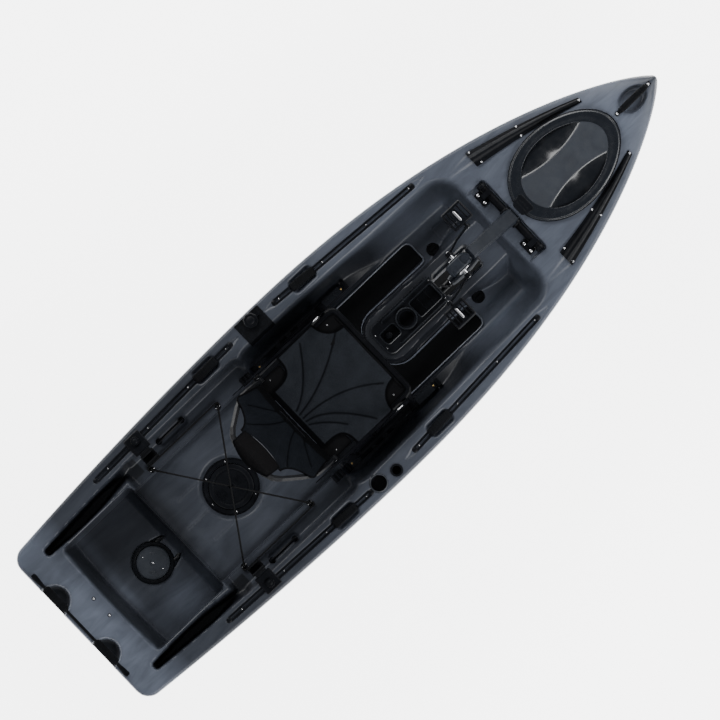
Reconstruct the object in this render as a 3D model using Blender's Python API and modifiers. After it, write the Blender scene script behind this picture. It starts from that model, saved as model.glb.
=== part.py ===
"""A sit-on-top fishing kayak with a pedal drive.

Metres, +X to the bow, +Y to port, +Z up. The origin is on the flat of the keel, half way along the
hull. Left and right halves are mirrored unless a piece is on one side only.
"""

import math

import bmesh
import bpy
from mathutils import Matrix, Vector

# Hull
HALF_BEAM = 0.4605
X_STERN, X_BOW = -1.600, 1.600
SHARP_BOW = 1.606  # where the sides would meet if the bow's tip were not rounded
BOW_ROUND = 0.006
X_WIDEST = -0.2386
STERN_CORNER = 0.058
GUNWALE_Z = 0.335
BOW_RISE = 0.085
CROWN = 0.025
WALL = 0.005
GAP = 0.0003

# Levels inside the hull
LEDGE_Z = 0.200
FLOOR_Z = 0.130
SHELF_Z = 0.245
TANK_Z = 0.215
CONSOLE_Z = 0.235
CHANNEL_Z = 0.225

# Places of the fittings
CRANK = Vector((0.510, 0.0, 0.500))
CRANK_LENGTH = 0.130
PIVOT = Vector((0.7945, 0.0, 0.3455))
BAR_R = 0.0165
PROP = Vector((0.420, 0.0, -0.150))
PROP_R = 0.115
HATCH_X0, HATCH_X1 = 0.8505, 1.3497
HATCH_HALF = 0.174
ROUND_HATCH = Vector((-0.7624, 0.0, TANK_Z))
STERN_CAP = Vector((-1.203, 0.0, FLOOR_Z))
SCUPPERS = [Vector((0.4835, y, FLOOR_Z)) for y in (0.132, -0.132)]
CUP = Vector((-0.3235, -0.4036, GUNWALE_Z))
ROD_HOLE = Vector((-0.2358, -0.4160, GUNWALE_Z))
KNOB = Vector((-0.2438, 0.4216, GUNWALE_Z))
BRACKET_X = -0.913
BACK_PIVOT = Vector((-0.385, 0.0, 0.462))
FRAME_X0 = -0.420
SEAT_X0, SEAT_X1 = -0.375, 0.0276
SEAT_HALF = 0.226
SEAT_Z = 0.420
TUBE_R = 0.0125
PAD_EYES = {"rear": -0.944, "front": -0.5788}
PAD_EYE_Y = 0.2668
SIDES = {"port": 1, "starboard": -1}


# ---------------------------------------------------------------- helpers


def clear_scene():
    for old in list(bpy.data.objects):
        bpy.data.objects.remove(old, do_unlink=True)


def make_collection(name):
    made = bpy.data.collections.new(name)
    bpy.context.scene.collection.children.link(made)
    return made


clear_scene()
KAYAK = make_collection("pedal_fishing_kayak")
CUTTERS = make_collection("cutters")


def material(name, colour, roughness, metallic=0.0):
    made = bpy.data.materials.new(name)
    made.use_nodes = True
    shader = made.node_tree.nodes["Principled BSDF"]
    shader.inputs["Base Color"].default_value = (*colour, 1.0)
    shader.inputs["Roughness"].default_value = roughness
    shader.inputs["Metallic"].default_value = metallic
    return made


POLYETHYLENE = material("grey_swirl_polyethylene", (0.14, 0.155, 0.175), 0.42)
BLACK = material("black_plastic", (0.015, 0.015, 0.017), 0.45)
RUBBER = material("black_rubber", (0.012, 0.012, 0.013), 0.75)
FOAM = material("black_eva_foam", (0.01, 0.01, 0.012), 0.9)
FABRIC = material("grey_mesh_fabric", (0.11, 0.11, 0.12), 0.9)
DARK_GREY = material("dark_grey_housing", (0.045, 0.05, 0.058), 0.4)
ALUMINIUM = material("black_anodised_aluminium", (0.02, 0.02, 0.022), 0.35, 0.6)
CHROME = material("bright_steel", (0.75, 0.75, 0.76), 0.15, 1.0)
CORD = material("black_bungee", (0.02, 0.02, 0.02), 0.8)


def place(name, mesh, look, cutter=False):
    """An object from a mesh, in the kayak's collection or hidden among the cutters."""
    made = bpy.data.objects.new(name, mesh)
    (CUTTERS if cutter else KAYAK).objects.link(made)
    if cutter:
        made.hide_render = True
        made.display_type = "WIRE"
    else:
        mesh.materials.append(look)
    return made


def finish_mesh(bm, name):
    bmesh.ops.recalc_face_normals(bm, faces=bm.faces)
    mesh = bpy.data.meshes.new(name)
    bm.to_mesh(mesh)
    bm.free()
    return mesh


def smooth(thing, angle=35):
    thing.data.shade_smooth()
    thing.data.set_sharp_from_angle(angle=math.radians(angle))
    return thing


def box(name, low, high, look=None, cutter=False, bevel=0.0):
    bm = bmesh.new()
    low, high = Vector(low), Vector(high)
    centre, size = (low + high) / 2, high - low
    bmesh.ops.create_cube(bm, size=1.0, matrix=Matrix.Translation(centre) @ Matrix.Diagonal((*size, 1)))
    made = place(name, finish_mesh(bm, name), look, cutter)
    if bevel:
        add_bevel(made, bevel)
    return made


def add_bevel(made, width, segments=1):
    rounding = made.modifiers.new("rounding", "BEVEL")
    rounding.width = width
    rounding.segments = segments
    rounding.limit_method = "ANGLE"
    rounding.angle_limit = math.radians(40)
    return made


TURN = {
    "X": Matrix.Rotation(math.pi / 2, 4, "Y"),
    "Y": Matrix.Rotation(math.pi / 2, 4, "X"),
    "Z": Matrix.Identity(4),
}


def rod(name, centre, radius, length, axis="Z", look=None, cutter=False, sides=20, end_radius=None):
    """A round bar or cone centred on a point. On Y its radius is at +Y and end_radius at -Y."""
    bm = bmesh.new()
    bmesh.ops.create_cone(
        bm,
        cap_ends=True,
        segments=sides,
        radius1=radius,
        radius2=radius if end_radius is None else end_radius,
        depth=length,
        matrix=Matrix.Translation(Vector(centre)) @ TURN[axis],
    )
    return place(name, finish_mesh(bm, name), look, cutter)


def loft(name, rings, look=None, cutter=False, hoop=False):
    """A closed skin over rings of equally many points, capped at both ends or, as a hoop, run back round."""
    bm = bmesh.new()
    rows = [[bm.verts.new(p) for p in ring] for ring in rings]
    count = len(rings[0])
    for here, there in zip(rows, rows[1:] + rows[:1] if hoop else rows[1:]):
        for i in range(count):
            j = (i + 1) % count
            bm.faces.new((here[i], here[j], there[j], there[i]))
    if not hoop:
        bm.faces.new(rows[0])
        bm.faces.new(rows[-1])
    return place(name, finish_mesh(bm, name), look, cutter)


def turned(name, profile, centre, look=None, cutter=False, steps=32, axis="Z"):
    """A Screw round Z of a (radius, height) profile whose points run up its outer side."""
    bm = bmesh.new()
    points = [bm.verts.new((r, 0, z)) for r, z in reversed(profile)]
    on_axis = profile[0][0] == 0 and profile[-1][0] == 0
    for a, b in zip(points, points[1:] if on_axis else points[1:] + points[:1]):
        bm.edges.new((a, b))
    mesh = bpy.data.meshes.new(name)
    bm.to_mesh(mesh)
    bm.free()
    made = place(name, mesh, look, cutter)
    made.matrix_world = Matrix.Translation(Vector(centre)) @ TURN[axis]
    screw = made.modifiers.new("turn", "SCREW")
    screw.steps = screw.render_steps = steps
    screw.use_merge_vertices = True
    screw.merge_threshold = 0.00005
    screw.use_normal_calculate = False
    return made


def tube(name, points, radius, look=None, closed=False, cutter=False, resolution=1):
    """A round bar along points."""
    curve = bpy.data.curves.new(name, "CURVE")
    curve.dimensions = "3D"
    curve.bevel_depth = radius
    curve.bevel_resolution = resolution
    curve.use_fill_caps = not closed
    line = curve.splines.new("POLY")
    line.points.add(len(points) - 1)
    for point, xyz in zip(line.points, points):
        point.co = (*xyz, 1.0)
    line.use_cyclic_u = closed
    made = bpy.data.objects.new(name, curve)
    (CUTTERS if cutter else KAYAK).objects.link(made)
    if cutter:
        made.hide_render = True
        made.display_type = "WIRE"
    else:
        curve.materials.append(look)
    return made


def as_mesh(curved, look=None):
    """Turns a curve object into a welded mesh object of the same name."""
    name = curved.name
    cutter = CUTTERS in curved.users_collection
    world = curved.matrix_world.copy()
    evaluated = curved.evaluated_get(bpy.context.evaluated_depsgraph_get())
    mesh = bpy.data.meshes.new_from_object(evaluated)
    bm = bmesh.new()
    bm.from_mesh(mesh)
    bmesh.ops.remove_doubles(bm, verts=bm.verts, dist=0.00005)
    bm.to_mesh(mesh)
    bm.free()
    mesh.materials.clear()
    bpy.data.objects.remove(curved, do_unlink=True)
    made = place(name, mesh, look, cutter)
    made.name = name
    made.matrix_world = world
    return made


def combine(target, other, operation):
    step = target.modifiers.new(operation.lower() + "_" + other.name, "BOOLEAN")
    step.operation = operation
    step.object = other
    step.solver = "EXACT"
    return target


def cut(target, *others):
    for other in others:
        combine(target, other, "DIFFERENCE")
    return target


def join(target, *others):
    for other in others:
        combine(target, other, "UNION")
    return target


def settle(made):
    """Applies an object's modifiers, so that a long chain of cuts is worked out once."""
    evaluated = made.evaluated_get(bpy.context.evaluated_depsgraph_get())
    mesh = bpy.data.meshes.new_from_object(evaluated)
    made.modifiers.clear()
    made.data = mesh
    return made


def inset(corners, distance):
    """Moves every edge of a convex anticlockwise polygon inwards."""
    moved = []
    count = len(corners)
    for i in range(count):
        before, here, after = (Vector(corners[(i + k) % count]) for k in (-1, 0, 1))
        along_in = (here - before).normalized()
        along_out = (after - here).normalized()
        normal_in = Vector((-along_in.y, along_in.x))
        normal_out = Vector((-along_out.y, along_out.x))
        spread = 1 + normal_in.dot(normal_out)
        moved.append(here + (normal_in + normal_out) * distance / spread)
    return moved


def rounded(corners, radius, steps=3):
    """A polygon's outline with each corner turned into an arc."""
    outline = []
    count = len(corners)
    for i in range(count):
        before, here, after = (Vector(corners[(i + k) % count]) for k in (-1, 0, 1))
        back = (before - here).normalized()
        ahead = (after - here).normalized()
        half = math.acos(max(-1.0, min(1.0, back.dot(ahead)))) / 2
        reach = radius / math.tan(half)
        centre = here + (back + ahead).normalized() * radius / math.sin(half)
        start = here + back * reach - centre
        end = here + ahead * reach - centre
        turn = start.angle_signed(end)
        for k in range(steps + 1):
            angle = -turn * k / steps
            c, s = math.cos(angle), math.sin(angle)
            outline.append(centre + Vector((start.x * c - start.y * s, start.x * s + start.y * c)))
    return outline


def oblong(x0, x1, y0, y1):
    return [(x0, y0), (x1, y0), (x1, y1), (x0, y1)]


def taper(x0, x1, half0, half1):
    return [(x0, -half0), (x1, -half1), (x1, half1), (x0, half0)]


def flipped(corners):
    return [(x, -y) for x, y in reversed(corners)]


def tub(name, top, floor, floor_z, radius, grow=0.0, top_z=0.6, rim_z=GUNWALE_Z, look=None, cutter=True):
    """A pocket with sloping walls: its floor outline at floor_z, its top outline at rim_z and above."""
    rim_z = max(rim_z, floor_z + 0.030)
    steps = 1 if grow else 3
    wide = rounded(inset(top, -grow), radius + grow, steps)
    narrow = rounded(inset(floor, -grow), radius + grow, steps)
    rings = [[(x, y, floor_z - grow) for x, y in narrow]]
    rings.append([(x, y, rim_z) for x, y in wide])
    if top_z > rim_z:
        rings.append([(x, y, top_z) for x, y in wide])
    return loft(name, rings, look, cutter)


# ---------------------------------------------------------------- hull form


def half_beam(x):
    if x > X_WIDEST:
        s = (x - X_WIDEST) / (SHARP_BOW - X_WIDEST)
        into_tip = max(0.0, x - (X_BOW - BOW_ROUND)) / BOW_ROUND
        return HALF_BEAM * (1 - s**2.25) ** 0.8 * math.sqrt(max(0.0, 1 - into_tip**2))
    s = (X_WIDEST - x) / (X_WIDEST - X_STERN)
    breadth = HALF_BEAM * (1 - 0.1436 * s**1.86)
    into_corner = max(0.0, STERN_CORNER - (x - X_STERN))
    return breadth - (STERN_CORNER - math.sqrt(STERN_CORNER**2 - into_corner**2))


def sheer(x):
    return GUNWALE_Z + BOW_RISE * max(0.0, x - 0.6) ** 2 + 0.06 * max(0.0, -1.15 - x) ** 2


def keel(x):
    return 0.20 * max(0.0, (x - 0.70) / 0.9) ** 2.4 + 0.24 * max(0.0, -1.05 - x) ** 2


def deck(x, y):
    forward = min(1.0, max(0.0, (x - 0.80) / 0.25))
    across = min(1.0, abs(y) / max(half_beam(x), 0.02))
    return sheer(x) + CROWN * forward * (1 - across**2)


def section(x, inside=0.0, fine=True):
    """The hull's outline at one station, drawn in by a wall's thickness."""
    b = half_beam(x) - inside
    top, bottom = sheer(x), keel(x) + inside
    tall = top - bottom
    edge = min(0.020, 0.35 * b)
    half = [(0.0, bottom), (0.40 * b, bottom)]
    for k in range(1, 6) if fine else (2, 4, 5):
        angle = math.radians(18 * k)
        half.append((0.40 * b + 0.575 * b * math.sin(angle), bottom + 0.42 * tall * (1 - math.cos(angle))))
    half.append((b, top - inside - 0.030 - edge / 2))
    if fine:
        half.append((b - 0.20 * edge, top - inside - 0.45 * edge))
    for share in (1.0, 0.5, 0.0):
        y = share * (b - edge)
        half.append((y, deck(x, y) - inside))
    left = [(x, y, z) for y, z in half]
    right = [(x, -y, z) for y, z in half[1:-1]]
    return left + right[::-1]


def stations(start, end, skip=1):
    corner = [X_STERN + STERN_CORNER * (1 - math.cos(math.radians(a))) for a in (25, 50, 70, 90)]
    middle = [-1.40 + 0.2 * i for i in range(10)]
    ahead = [0.55 + 0.12 * i for i in range(7)]
    tip = [1.36, 1.44, 1.50, 1.545, 1.575, 1.590, 1.596]
    inner = [x for x in corner + middle + ahead + tip if start < x < end]
    return [start] + inner[::skip] + [end]


def egg(scale, steps=28):
    """The bow hatch's outline, blunt to the rear, scaled about its own middle."""
    middle = (HATCH_X0 + HATCH_X1) / 2
    long = (HATCH_X1 - HATCH_X0) / 2
    outline = []
    for i in range(steps):
        a = 2 * math.pi * i / steps
        u = math.cos(a)
        outline.append((middle + scale * long * u, scale * HATCH_HALF * math.sin(a) * (1 - 0.10 * u)))
    return outline


# The pockets: name, top outline, floor outline, floor height, corner radius
CHANNEL_TOP = [(-1.488, 0.286), (-0.355, 0.319), (-0.355, 0.3665), (-1.488, 0.352)]
STERN_GRIPS = {"port": (0.084, 0.222), "starboard": (-0.206, -0.072)}
POCKETS = [
    ("cockpit", taper(-0.44, 0.738, 0.368, 0.335), taper(-0.372, 0.670, 0.300, 0.272), LEDGE_Z, 0.05),
    ("under_seat", taper(-0.37, 0.20, 0.245, 0.245), taper(-0.365, 0.20, 0.240, 0.240), FLOOR_Z, 0.02),
    ("foot_well", taper(0.125, 0.662, 0.296, 0.268), taper(0.150, 0.637, 0.276, 0.248), FLOOR_Z, 0.05),
    ("tank_shelf", taper(-1.050, -0.375, 0.322, 0.322), taper(-1.044, -0.375, 0.316, 0.316), SHELF_Z, 0.02),
    ("tank_floor", taper(-1.040, -0.360, 0.244, 0.244), taper(-1.036, -0.360, 0.240, 0.240), TANK_Z, 0.015),
    ("stern_well", taper(-1.432, -1.030, 0.280, 0.280), taper(-1.352, -1.075, 0.255, 0.255), FLOOR_Z, 0.035),
    ("bar_recess", taper(0.700, 0.8190, 0.184, 0.184), taper(0.700, 0.8170, 0.182, 0.182), 0.3235, 0.008),
    ("bow_scoop", taper(1.405, 1.541, 0.048, 0.028), taper(1.425, 1.521, 0.030, 0.018), 0.392, 0.012),
]
for side, sign in SIDES.items():
    run = CHANNEL_TOP if sign > 0 else flipped(CHANNEL_TOP)
    POCKETS.append(("channel_" + side, run, inset(run, 0.006), CHANNEL_Z, 0.012))
    for end, x in (("rear", -0.5110), ("front", 0.0200)):
        scoop = oblong(x - 0.064, x + 0.064, sign * 0.402 - 0.038, sign * 0.402 + 0.038)
        POCKETS.append((f"scoop_{end}_{side}", scoop, inset(scoop, 0.012), GUNWALE_Z - 0.052, 0.018))
for side, (y0, y1) in STERN_GRIPS.items():
    scoop = oblong(X_STERN - 0.05, X_STERN + 0.080, y0, y1)
    POCKETS.append(("stern_scoop_" + side, scoop, inset(scoop, 0.010), 0.300, 0.030))

CONSOLE_TOP = taper(0.056, 0.72, 0.098, 0.080)
CONSOLE_FOOT = taper(0.050, 0.73, 0.106, 0.088)
TRAY_WELL = oblong(0.076, 0.384, -0.061, 0.061)
SLOT = oblong(0.200, 0.590, -0.042, 0.042)
WELL = oblong(0.3955, 0.590, -0.058, 0.058)
SLOT_TOP = 0.188


def pockets(prefix, grow):
    return [tub(prefix + name, top, floor, z, r, grow) for name, top, floor, z, r in POCKETS]


def through(name, corners, low, high, radius, grow=0.0):
    """A straight-walled hole between two heights."""
    return tub(name, corners, corners, low, radius, grow, top_z=high, rim_z=high)


def cavity():
    """The air inside the moulding: the hull drawn in by its wall, less every pocket with its own wall."""
    rings = [section(x, WALL, fine=False) for x in stations(X_STERN + WALL, X_BOW - 0.030, skip=2)]
    air = loft("air", rings, cutter=True)
    cut(air, *pockets("wall_of_", WALL))
    settle(air)
    console = tub("air_console", inset(CONSOLE_TOP, WALL), inset(CONSOLE_FOOT, WALL), 0.06, 0.07,
                  top_z=0.0, rim_z=CONSOLE_Z - WALL)
    cut(console, box("behind_front_wall", (0.66, -0.2, 0.0), (0.80, 0.2, 0.4), cutter=True))
    join(air, console)
    cut(air, tub("wall_of_tray", TRAY_WELL, TRAY_WELL, 0.197, 0.018, WALL))
    cut(air, through("wall_of_slot", SLOT, -0.05, SLOT_TOP + WALL, 0.02, WALL))
    cut(air, tub("wall_of_well", WELL, WELL, 0.10, 0.02, WALL))
    for i, at in enumerate(SCUPPERS):
        cut(air, rod(f"wall_of_scupper_{i}", (at.x, at.y, 0.1), 0.019 + WALL, 0.4, cutter=True))
    cut(air, rod("wall_of_cup", (CUP.x, CUP.y, 0.306), 0.0345 + WALL, 0.11, cutter=True))
    return settle(air)


def hull():
    rings = [section(x) for x in stations(X_STERN, X_BOW)]
    rings[-1] = section(X_BOW - 0.0004)
    body = loft("hull", rings, POLYETHYLENE)
    cut(body, *pockets("pocket_", 0.0))
    settle(body)
    join(body, tub("console", CONSOLE_TOP, CONSOLE_FOOT, FLOOR_Z - 0.003, 0.075, top_z=0.0, rim_z=CONSOLE_Z))
    cut(body, tub("tray_well", TRAY_WELL, TRAY_WELL, 0.197, 0.018))
    cut(body, through("slot", SLOT, -0.05, SLOT_TOP, 0.02))
    cut(body, tub("well", WELL, WELL, 0.12, 0.02))
    cut(body, cavity())
    settle(body)
    for i, at in enumerate(SCUPPERS):
        cut(body, rod(f"scupper_{i}", (at.x, at.y, 0.1), 0.019, 0.4, cutter=True))
    cut(body, rod("cup", (CUP.x, CUP.y, 0.306), 0.0345, 0.098, cutter=True, sides=32))
    cut(body, rod("rod_hole", (ROD_HOLE.x, ROD_HOLE.y, 0.33), 0.0215, 0.06, cutter=True))
    cut(body, rod("round_hatch_hole", (ROUND_HATCH.x, 0, TANK_Z), 0.098, 0.06, cutter=True, sides=32))
    cut(body, rod("cap_seat", (STERN_CAP.x, 0, FLOOR_Z + 0.02), 0.0695, 0.046, cutter=True, sides=28))
    cut(body, rod("cap_hole", (STERN_CAP.x, 0, FLOOR_Z), 0.055, 0.06, cutter=True, sides=28))
    opening = egg(0.78)
    cut(body, loft("bow_opening", [[(x, y, z) for x, y in opening] for z in (0.28, 0.60)], cutter=True))
    for name, (a, b) in TRACKS.items():
        cut(body, track_groove(name, a, b))
    return body


# ---------------------------------------------------------------- gunwale fittings

TRACKS = {}
for side, sign in SIDES.items():
    TRACKS["rear_" + side] = (Vector((-1.1315, sign * 0.3864)), Vector((-0.375, sign * 0.4084)))
    TRACKS["front_" + side] = (Vector((-0.1225, sign * 0.4076)), Vector((0.590, sign * 0.3640)))
TRACK_WIDTH = 0.024
TRACK_DEEP = 0.013
TRACK_TOP = GUNWALE_Z + 0.0015
SLOT_WIDTH = 0.008


def along(a, b):
    """The turn and the middle of a straight run between two plan points."""
    run = b - a
    middle = (a + b) / 2
    return Matrix.Translation((middle.x, middle.y, 0)) @ Matrix.Rotation(math.atan2(run.y, run.x), 4, "Z")


def track_groove(name, a, b):
    long = (b - a).length / 2 + 0.0006
    wide = TRACK_WIDTH / 2 + GAP
    groove = box("groove_" + name, (-long, -wide, TRACK_TOP - TRACK_DEEP - GAP), (long, wide, 0.5), cutter=True)
    groove.matrix_world = along(a, b)
    return groove


def gear_tracks():
    for name, (a, b) in TRACKS.items():
        long = (b - a).length / 2
        wide = TRACK_WIDTH / 2
        track = box("gear_track_" + name, (-long, -wide, TRACK_TOP - TRACK_DEEP), (long, wide, TRACK_TOP), BLACK)
        slot = box("slot_" + name, (-long - 0.01, -SLOT_WIDTH / 2, TRACK_TOP - 0.008),
                   (long + 0.01, SLOT_WIDTH / 2, TRACK_TOP + 0.01), cutter=True)
        track.matrix_world = slot.matrix_world = along(a, b)
        cut(track, slot)


def side_handles():
    """Soft grips round the tracks, where each track bridges its hand scoop."""
    for name, (a, b) in TRACKS.items():
        x = -0.5110 if "rear" in name else 0.0200
        share = (x - a.x) / (b.x - a.x)
        at = a.lerp(b, share)
        spin = along(a, b)
        spin.translation = (at.x, at.y, 0)
        grip = box("side_handle_" + name, (-0.058, -0.018, TRACK_TOP - TRACK_DEEP - 0.006),
                   (0.058, 0.018, TRACK_TOP + 0.006), RUBBER, bevel=0.004)
        bore = box("bore_" + name, (-0.09, -TRACK_WIDTH / 2 - GAP, TRACK_TOP - TRACK_DEEP - GAP),
                   (0.09, TRACK_WIDTH / 2 + GAP, TRACK_TOP + GAP), cutter=True)
        grip.matrix_world = bore.matrix_world = spin
        cut(grip, bore)


def bar_section(x, y, z, half_y, half_z, steps=12):
    """An oval ring across X."""
    ring = []
    for i in range(steps):
        a = 2 * math.pi * (i + 0.5) / steps
        c, s = math.cos(a), math.sin(a)
        power = 0.7
        ring.append((x, y + half_y * math.copysign(abs(c) ** power, c), z + half_z * math.copysign(abs(s) ** power, s)))
    return ring


def bow_handle():
    z = deck(1.47, 0.0) + 0.012
    rise = (deck(1.56, 0.0) - deck(1.387, 0.0)) / 2
    stops = [(1.377, -1, 0.008, 0.0025), (1.396, -0.8, 0.008, 0.003), (1.404, -0.5, 0.012, 0.008),
             (1.440, -0.2, 0.014, 0.010), (1.500, 0.2, 0.014, 0.010), (1.542, 0.5, 0.012, 0.008),
             (1.550, 0.8, 0.008, 0.003), (1.566, 1, 0.008, 0.0025)]
    rings = []
    for x, share, wide, tall in stops:
        on_deck = abs(share) > 0.6
        height = deck(x, 0.0) + tall + 0.001 if on_deck else z + rise * share + 0.003
        rings.append(bar_section(x, 0.0, height, wide, tall))
    return smooth(loft("bow_handle", rings, RUBBER))


def stern_handle():
    """One strap along the transom with two thick grips, each over a hand scoop."""
    x = X_STERN + 0.021
    z = sheer(X_STERN) + 0.0085
    stops = [(-0.262, 0.012, 0.0025), (-0.232, 0.010, 0.003), (-0.204, 0.006, 0.0035), (-0.198, 0.013, 0.008),
             (-0.080, 0.013, 0.008), (-0.074, 0.006, 0.0035), (0.088, 0.006, 0.0035), (0.094, 0.013, 0.008),
             (0.214, 0.013, 0.008), (0.220, 0.006, 0.0035), (0.256, 0.010, 0.003), (0.284, 0.012, 0.0025)]
    rings = [[(x + py, y, pz) for _, py, pz in bar_section(0, 0, z, wide, tall)] for y, wide, tall in stops]
    return smooth(loft("stern_handle", rings, RUBBER))


def rod_tip_covers():
    """Tapered half-round covers that keep the tips of stowed rods along the foredeck's edges."""
    profile = [(-1, 0.0), (-1, 0.06), (-0.62, 0.10), (-0.42, 0.38), (-0.15, 0.60), (0.15, 0.60), (0.42, 0.38),
               (0.62, 0.10), (1, 0.06), (1, 0.0)]
    lean = -0.09
    for side, sign in SIDES.items():
        rings = []
        for k in range(7):
            share = k / 6
            x = 0.838 + (1.318 - 0.838) * share
            middle = 0.790 * half_beam(x)
            half = 0.036 * (1 - share) + 0.012 * share
            base = 0.0030 + max(deck(x, middle + u * half) - lean * u * half for u in (-1, 0, 1))
            rings.append([(x, sign * (middle + u * half), base + half * (lean * u + z)) for u, z in profile])
        smooth(loft("rod_tip_cover_" + side, rings, BLACK))


def mount_plate():
    """A flat accessory plate on the port gunwale with a lip folded down the cockpit wall."""
    slope = 0.50
    top, bottom, lip = GUNWALE_Z + 0.0040, GUNWALE_Z + 0.0008, GUNWALE_Z - 0.026
    inner = 0.3590
    drop = inner - slope * (GUNWALE_Z - lip)
    profile = [(0.4500, bottom), (0.4500, top), (inner - 0.003, top), (drop - 0.003, lip), (drop, lip),
               (inner, GUNWALE_Z), (inner + 0.0008, bottom)]
    rings = [[(x, y, z) for y, z in profile] for x in (-0.3107, -0.1826)]
    loft("mount_plate", rings, BLACK)
    knob = rod("mount_knob", (KNOB.x, KNOB.y, GUNWALE_Z + 0.0165), 0.031, 0.022, look=BLACK, sides=8)
    add_bevel(knob, 0.003)
    pointer = box("pointer", (0.02, -0.005, -0.009), (0.043, 0.005, 0.002), cutter=True)
    pointer.matrix_world = Matrix.Translation((KNOB.x, KNOB.y, GUNWALE_Z + 0.0165))
    join(knob, pointer)


def rod_holder():
    profile = [(0.0205, 0.0008), (0.0262, 0.0008), (0.0262, 0.0040), (0.0180, 0.0040), (0.0180, -0.125),
               (0.0205, -0.125)]
    return smooth(turned("rod_holder", profile, ROD_HOLE, BLACK, steps=16))


# ---------------------------------------------------------------- hatches and plugs


def hatch_plane(x):
    """The height of the bow hatch's flat seat, which slopes up with the foredeck."""
    return 0.354 + 0.124 * (x - HATCH_X0)


def bow_hatch():
    def flat(scale, lift):
        return [(x, y, hatch_plane(x) + lift) for x, y in egg(scale)]

    def on_deck(scale):
        return [(x, y, deck(x, y) + 0.0012) for x, y in egg(scale)]

    rim = loft("bow_hatch_rim", [on_deck(1.0), flat(1.0, -0.005), flat(0.955, -0.0008), flat(0.785, -0.0008),
                                 on_deck(0.785)], BLACK, hoop=True)
    lid = loft("bow_hatch_lid", [flat(0.93, 0), flat(0.93, 0.004), flat(0.80, 0.008), flat(0.70, 0.008),
                                 flat(0.45, 0.015)], DARK_GREY)
    tab = [[(x, y, hatch_plane(x) + z) for y, z in ((-0.045, 0.001), (0.045, 0.001), (0.045, 0.005), (-0.045, 0.005))]
           for x in (HATCH_X0 - 0.014, HATCH_X0 + 0.064)]
    smooth(join(lid, loft("lid_tab", tab, cutter=True)))
    smooth(rim)


def round_hatch():
    ring = [(0.0970, -0.020), (0.0970, 0.0009), (0.1140, 0.0009), (0.1140, 0.005), (0.1100, 0.009),
            (0.0945, 0.009), (0.0945, -0.004), (0.0890, -0.004), (0.0890, -0.008), (0.0940, -0.008),
            (0.0940, -0.020)]
    smooth(turned("rear_hatch_ring", ring, ROUND_HATCH, BLACK))
    lid = [(0.0, -0.0032), (0.0925, -0.0032), (0.0925, 0.0060), (0.0900, 0.0085), (0.0700, 0.0085),
           (0.0660, 0.0045), (0.0, 0.0045)]
    smooth(turned("rear_hatch_lid", lid, ROUND_HATCH, DARK_GREY))


def stern_cap():
    cap = [(0.0, -0.0025), (0.0680, -0.0025), (0.0680, 0.0050), (0.0650, 0.0080), (0.0, 0.0080)]
    return smooth(turned("stern_cap", cap, STERN_CAP, DARK_GREY, steps=28))


def scupper_plugs():
    for i, at in enumerate(SCUPPERS):
        profile = [(0.0, -0.030), (0.0160, -0.030), (0.0182, -0.004), (0.0182, GAP), (0.0270, GAP),
                   (0.0270, 0.0045), (0.0235, 0.0065), (0.0, 0.0065)]
        side = "port" if at.y > 0 else "starboard"
        smooth(turned("scupper_plug_" + side, profile, at, RUBBER, steps=16))


# ---------------------------------------------------------------- floor, console and cords


def floor_pad():
    outer = rounded(taper(-0.02, 0.426, 0.224, 0.224), 0.025)
    pad = loft("floor_pad", [[(x, y, z) for x, y in outer] for z in (FLOOR_Z + GAP, FLOOR_Z + 0.006)], FOAM)
    return cut(pad, through("pad_inner", taper(0.036, 0.60, 0.132, 0.132), 0.0, 0.5, 0.09))


def console_tray():
    flange = rounded(oblong(0.0617, 0.3915, -0.072, 0.072), 0.034)
    tray = loft("console_tray", [[(x, y, z) for x, y in flange] for z in (CONSOLE_Z + GAP, CONSOLE_Z + 0.006)],
                BLACK)
    body = inset(TRAY_WELL, 0.001)
    join(tray, through("tray_body", body, 0.1985, CONSOLE_Z + 0.004, 0.017))
    cut(tray, rod("tray_cup", (0.2138, 0, 0.234), 0.0385, 0.062, cutter=True, sides=32))
    cut(tray, through("tray_bin", oblong(0.2620, 0.3760, -0.036, 0.036), 0.2030, 0.40, 0.008))
    cut(tray, through("tray_slot", oblong(0.0880, 0.1600, -0.026, 0.026), 0.2100, 0.40, 0.012))
    return tray


def pad_eyes():
    for side, sign in SIDES.items():
        for end, x in PAD_EYES.items():
            name = f"pad_eye_{end}_{side}"
            at = Vector((x, sign * PAD_EYE_Y, SHELF_Z))
            base = rod(name, (at.x, at.y, at.z + GAP + 0.002), 0.0125, 0.004, look=BLACK, sides=12)
            arch = [(at.x, at.y + 0.0105 * math.cos(a), at.z + 0.003 + 0.014 * math.sin(a))
                    for a in (math.pi * k / 6 for k in range(7))]
            join(base, as_mesh(tube("arch_" + name, arch, 0.0022, cutter=True, resolution=1)))


def bungee():
    """One closed loop laced as a bow tie through the four pad eyes; one run crosses above the other."""
    z = SHELF_Z + 0.0085
    rear, front = PAD_EYES["rear"], PAD_EYES["front"]
    crossing = (rear + front) / 2
    steep = PAD_EYE_Y / (crossing - rear)
    bend = ((0.0, 0.0), (0.009, 0.003), (0.012, 0.010), (0.008, 0.0155), (0.0, 0.0170), (-0.012, 0.0170))

    def round_eye(x, side, out):
        return [(x + out * u, side * (PAD_EYE_Y + v), z) for u, v in bend]

    def across(lift, slope):
        return [(crossing + u, slope * steep * u, z + lift) for u in (0.03, 0.0, -0.03)]

    route = round_eye(rear, 1, -1) + round_eye(front, 1, 1)[::-1] + across(0.011, 1)
    route += round_eye(rear, -1, -1) + round_eye(front, -1, 1)[::-1] + across(0.002, -1)
    return tube("bungee_cord", route, 0.0027, CORD, closed=True)


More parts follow.
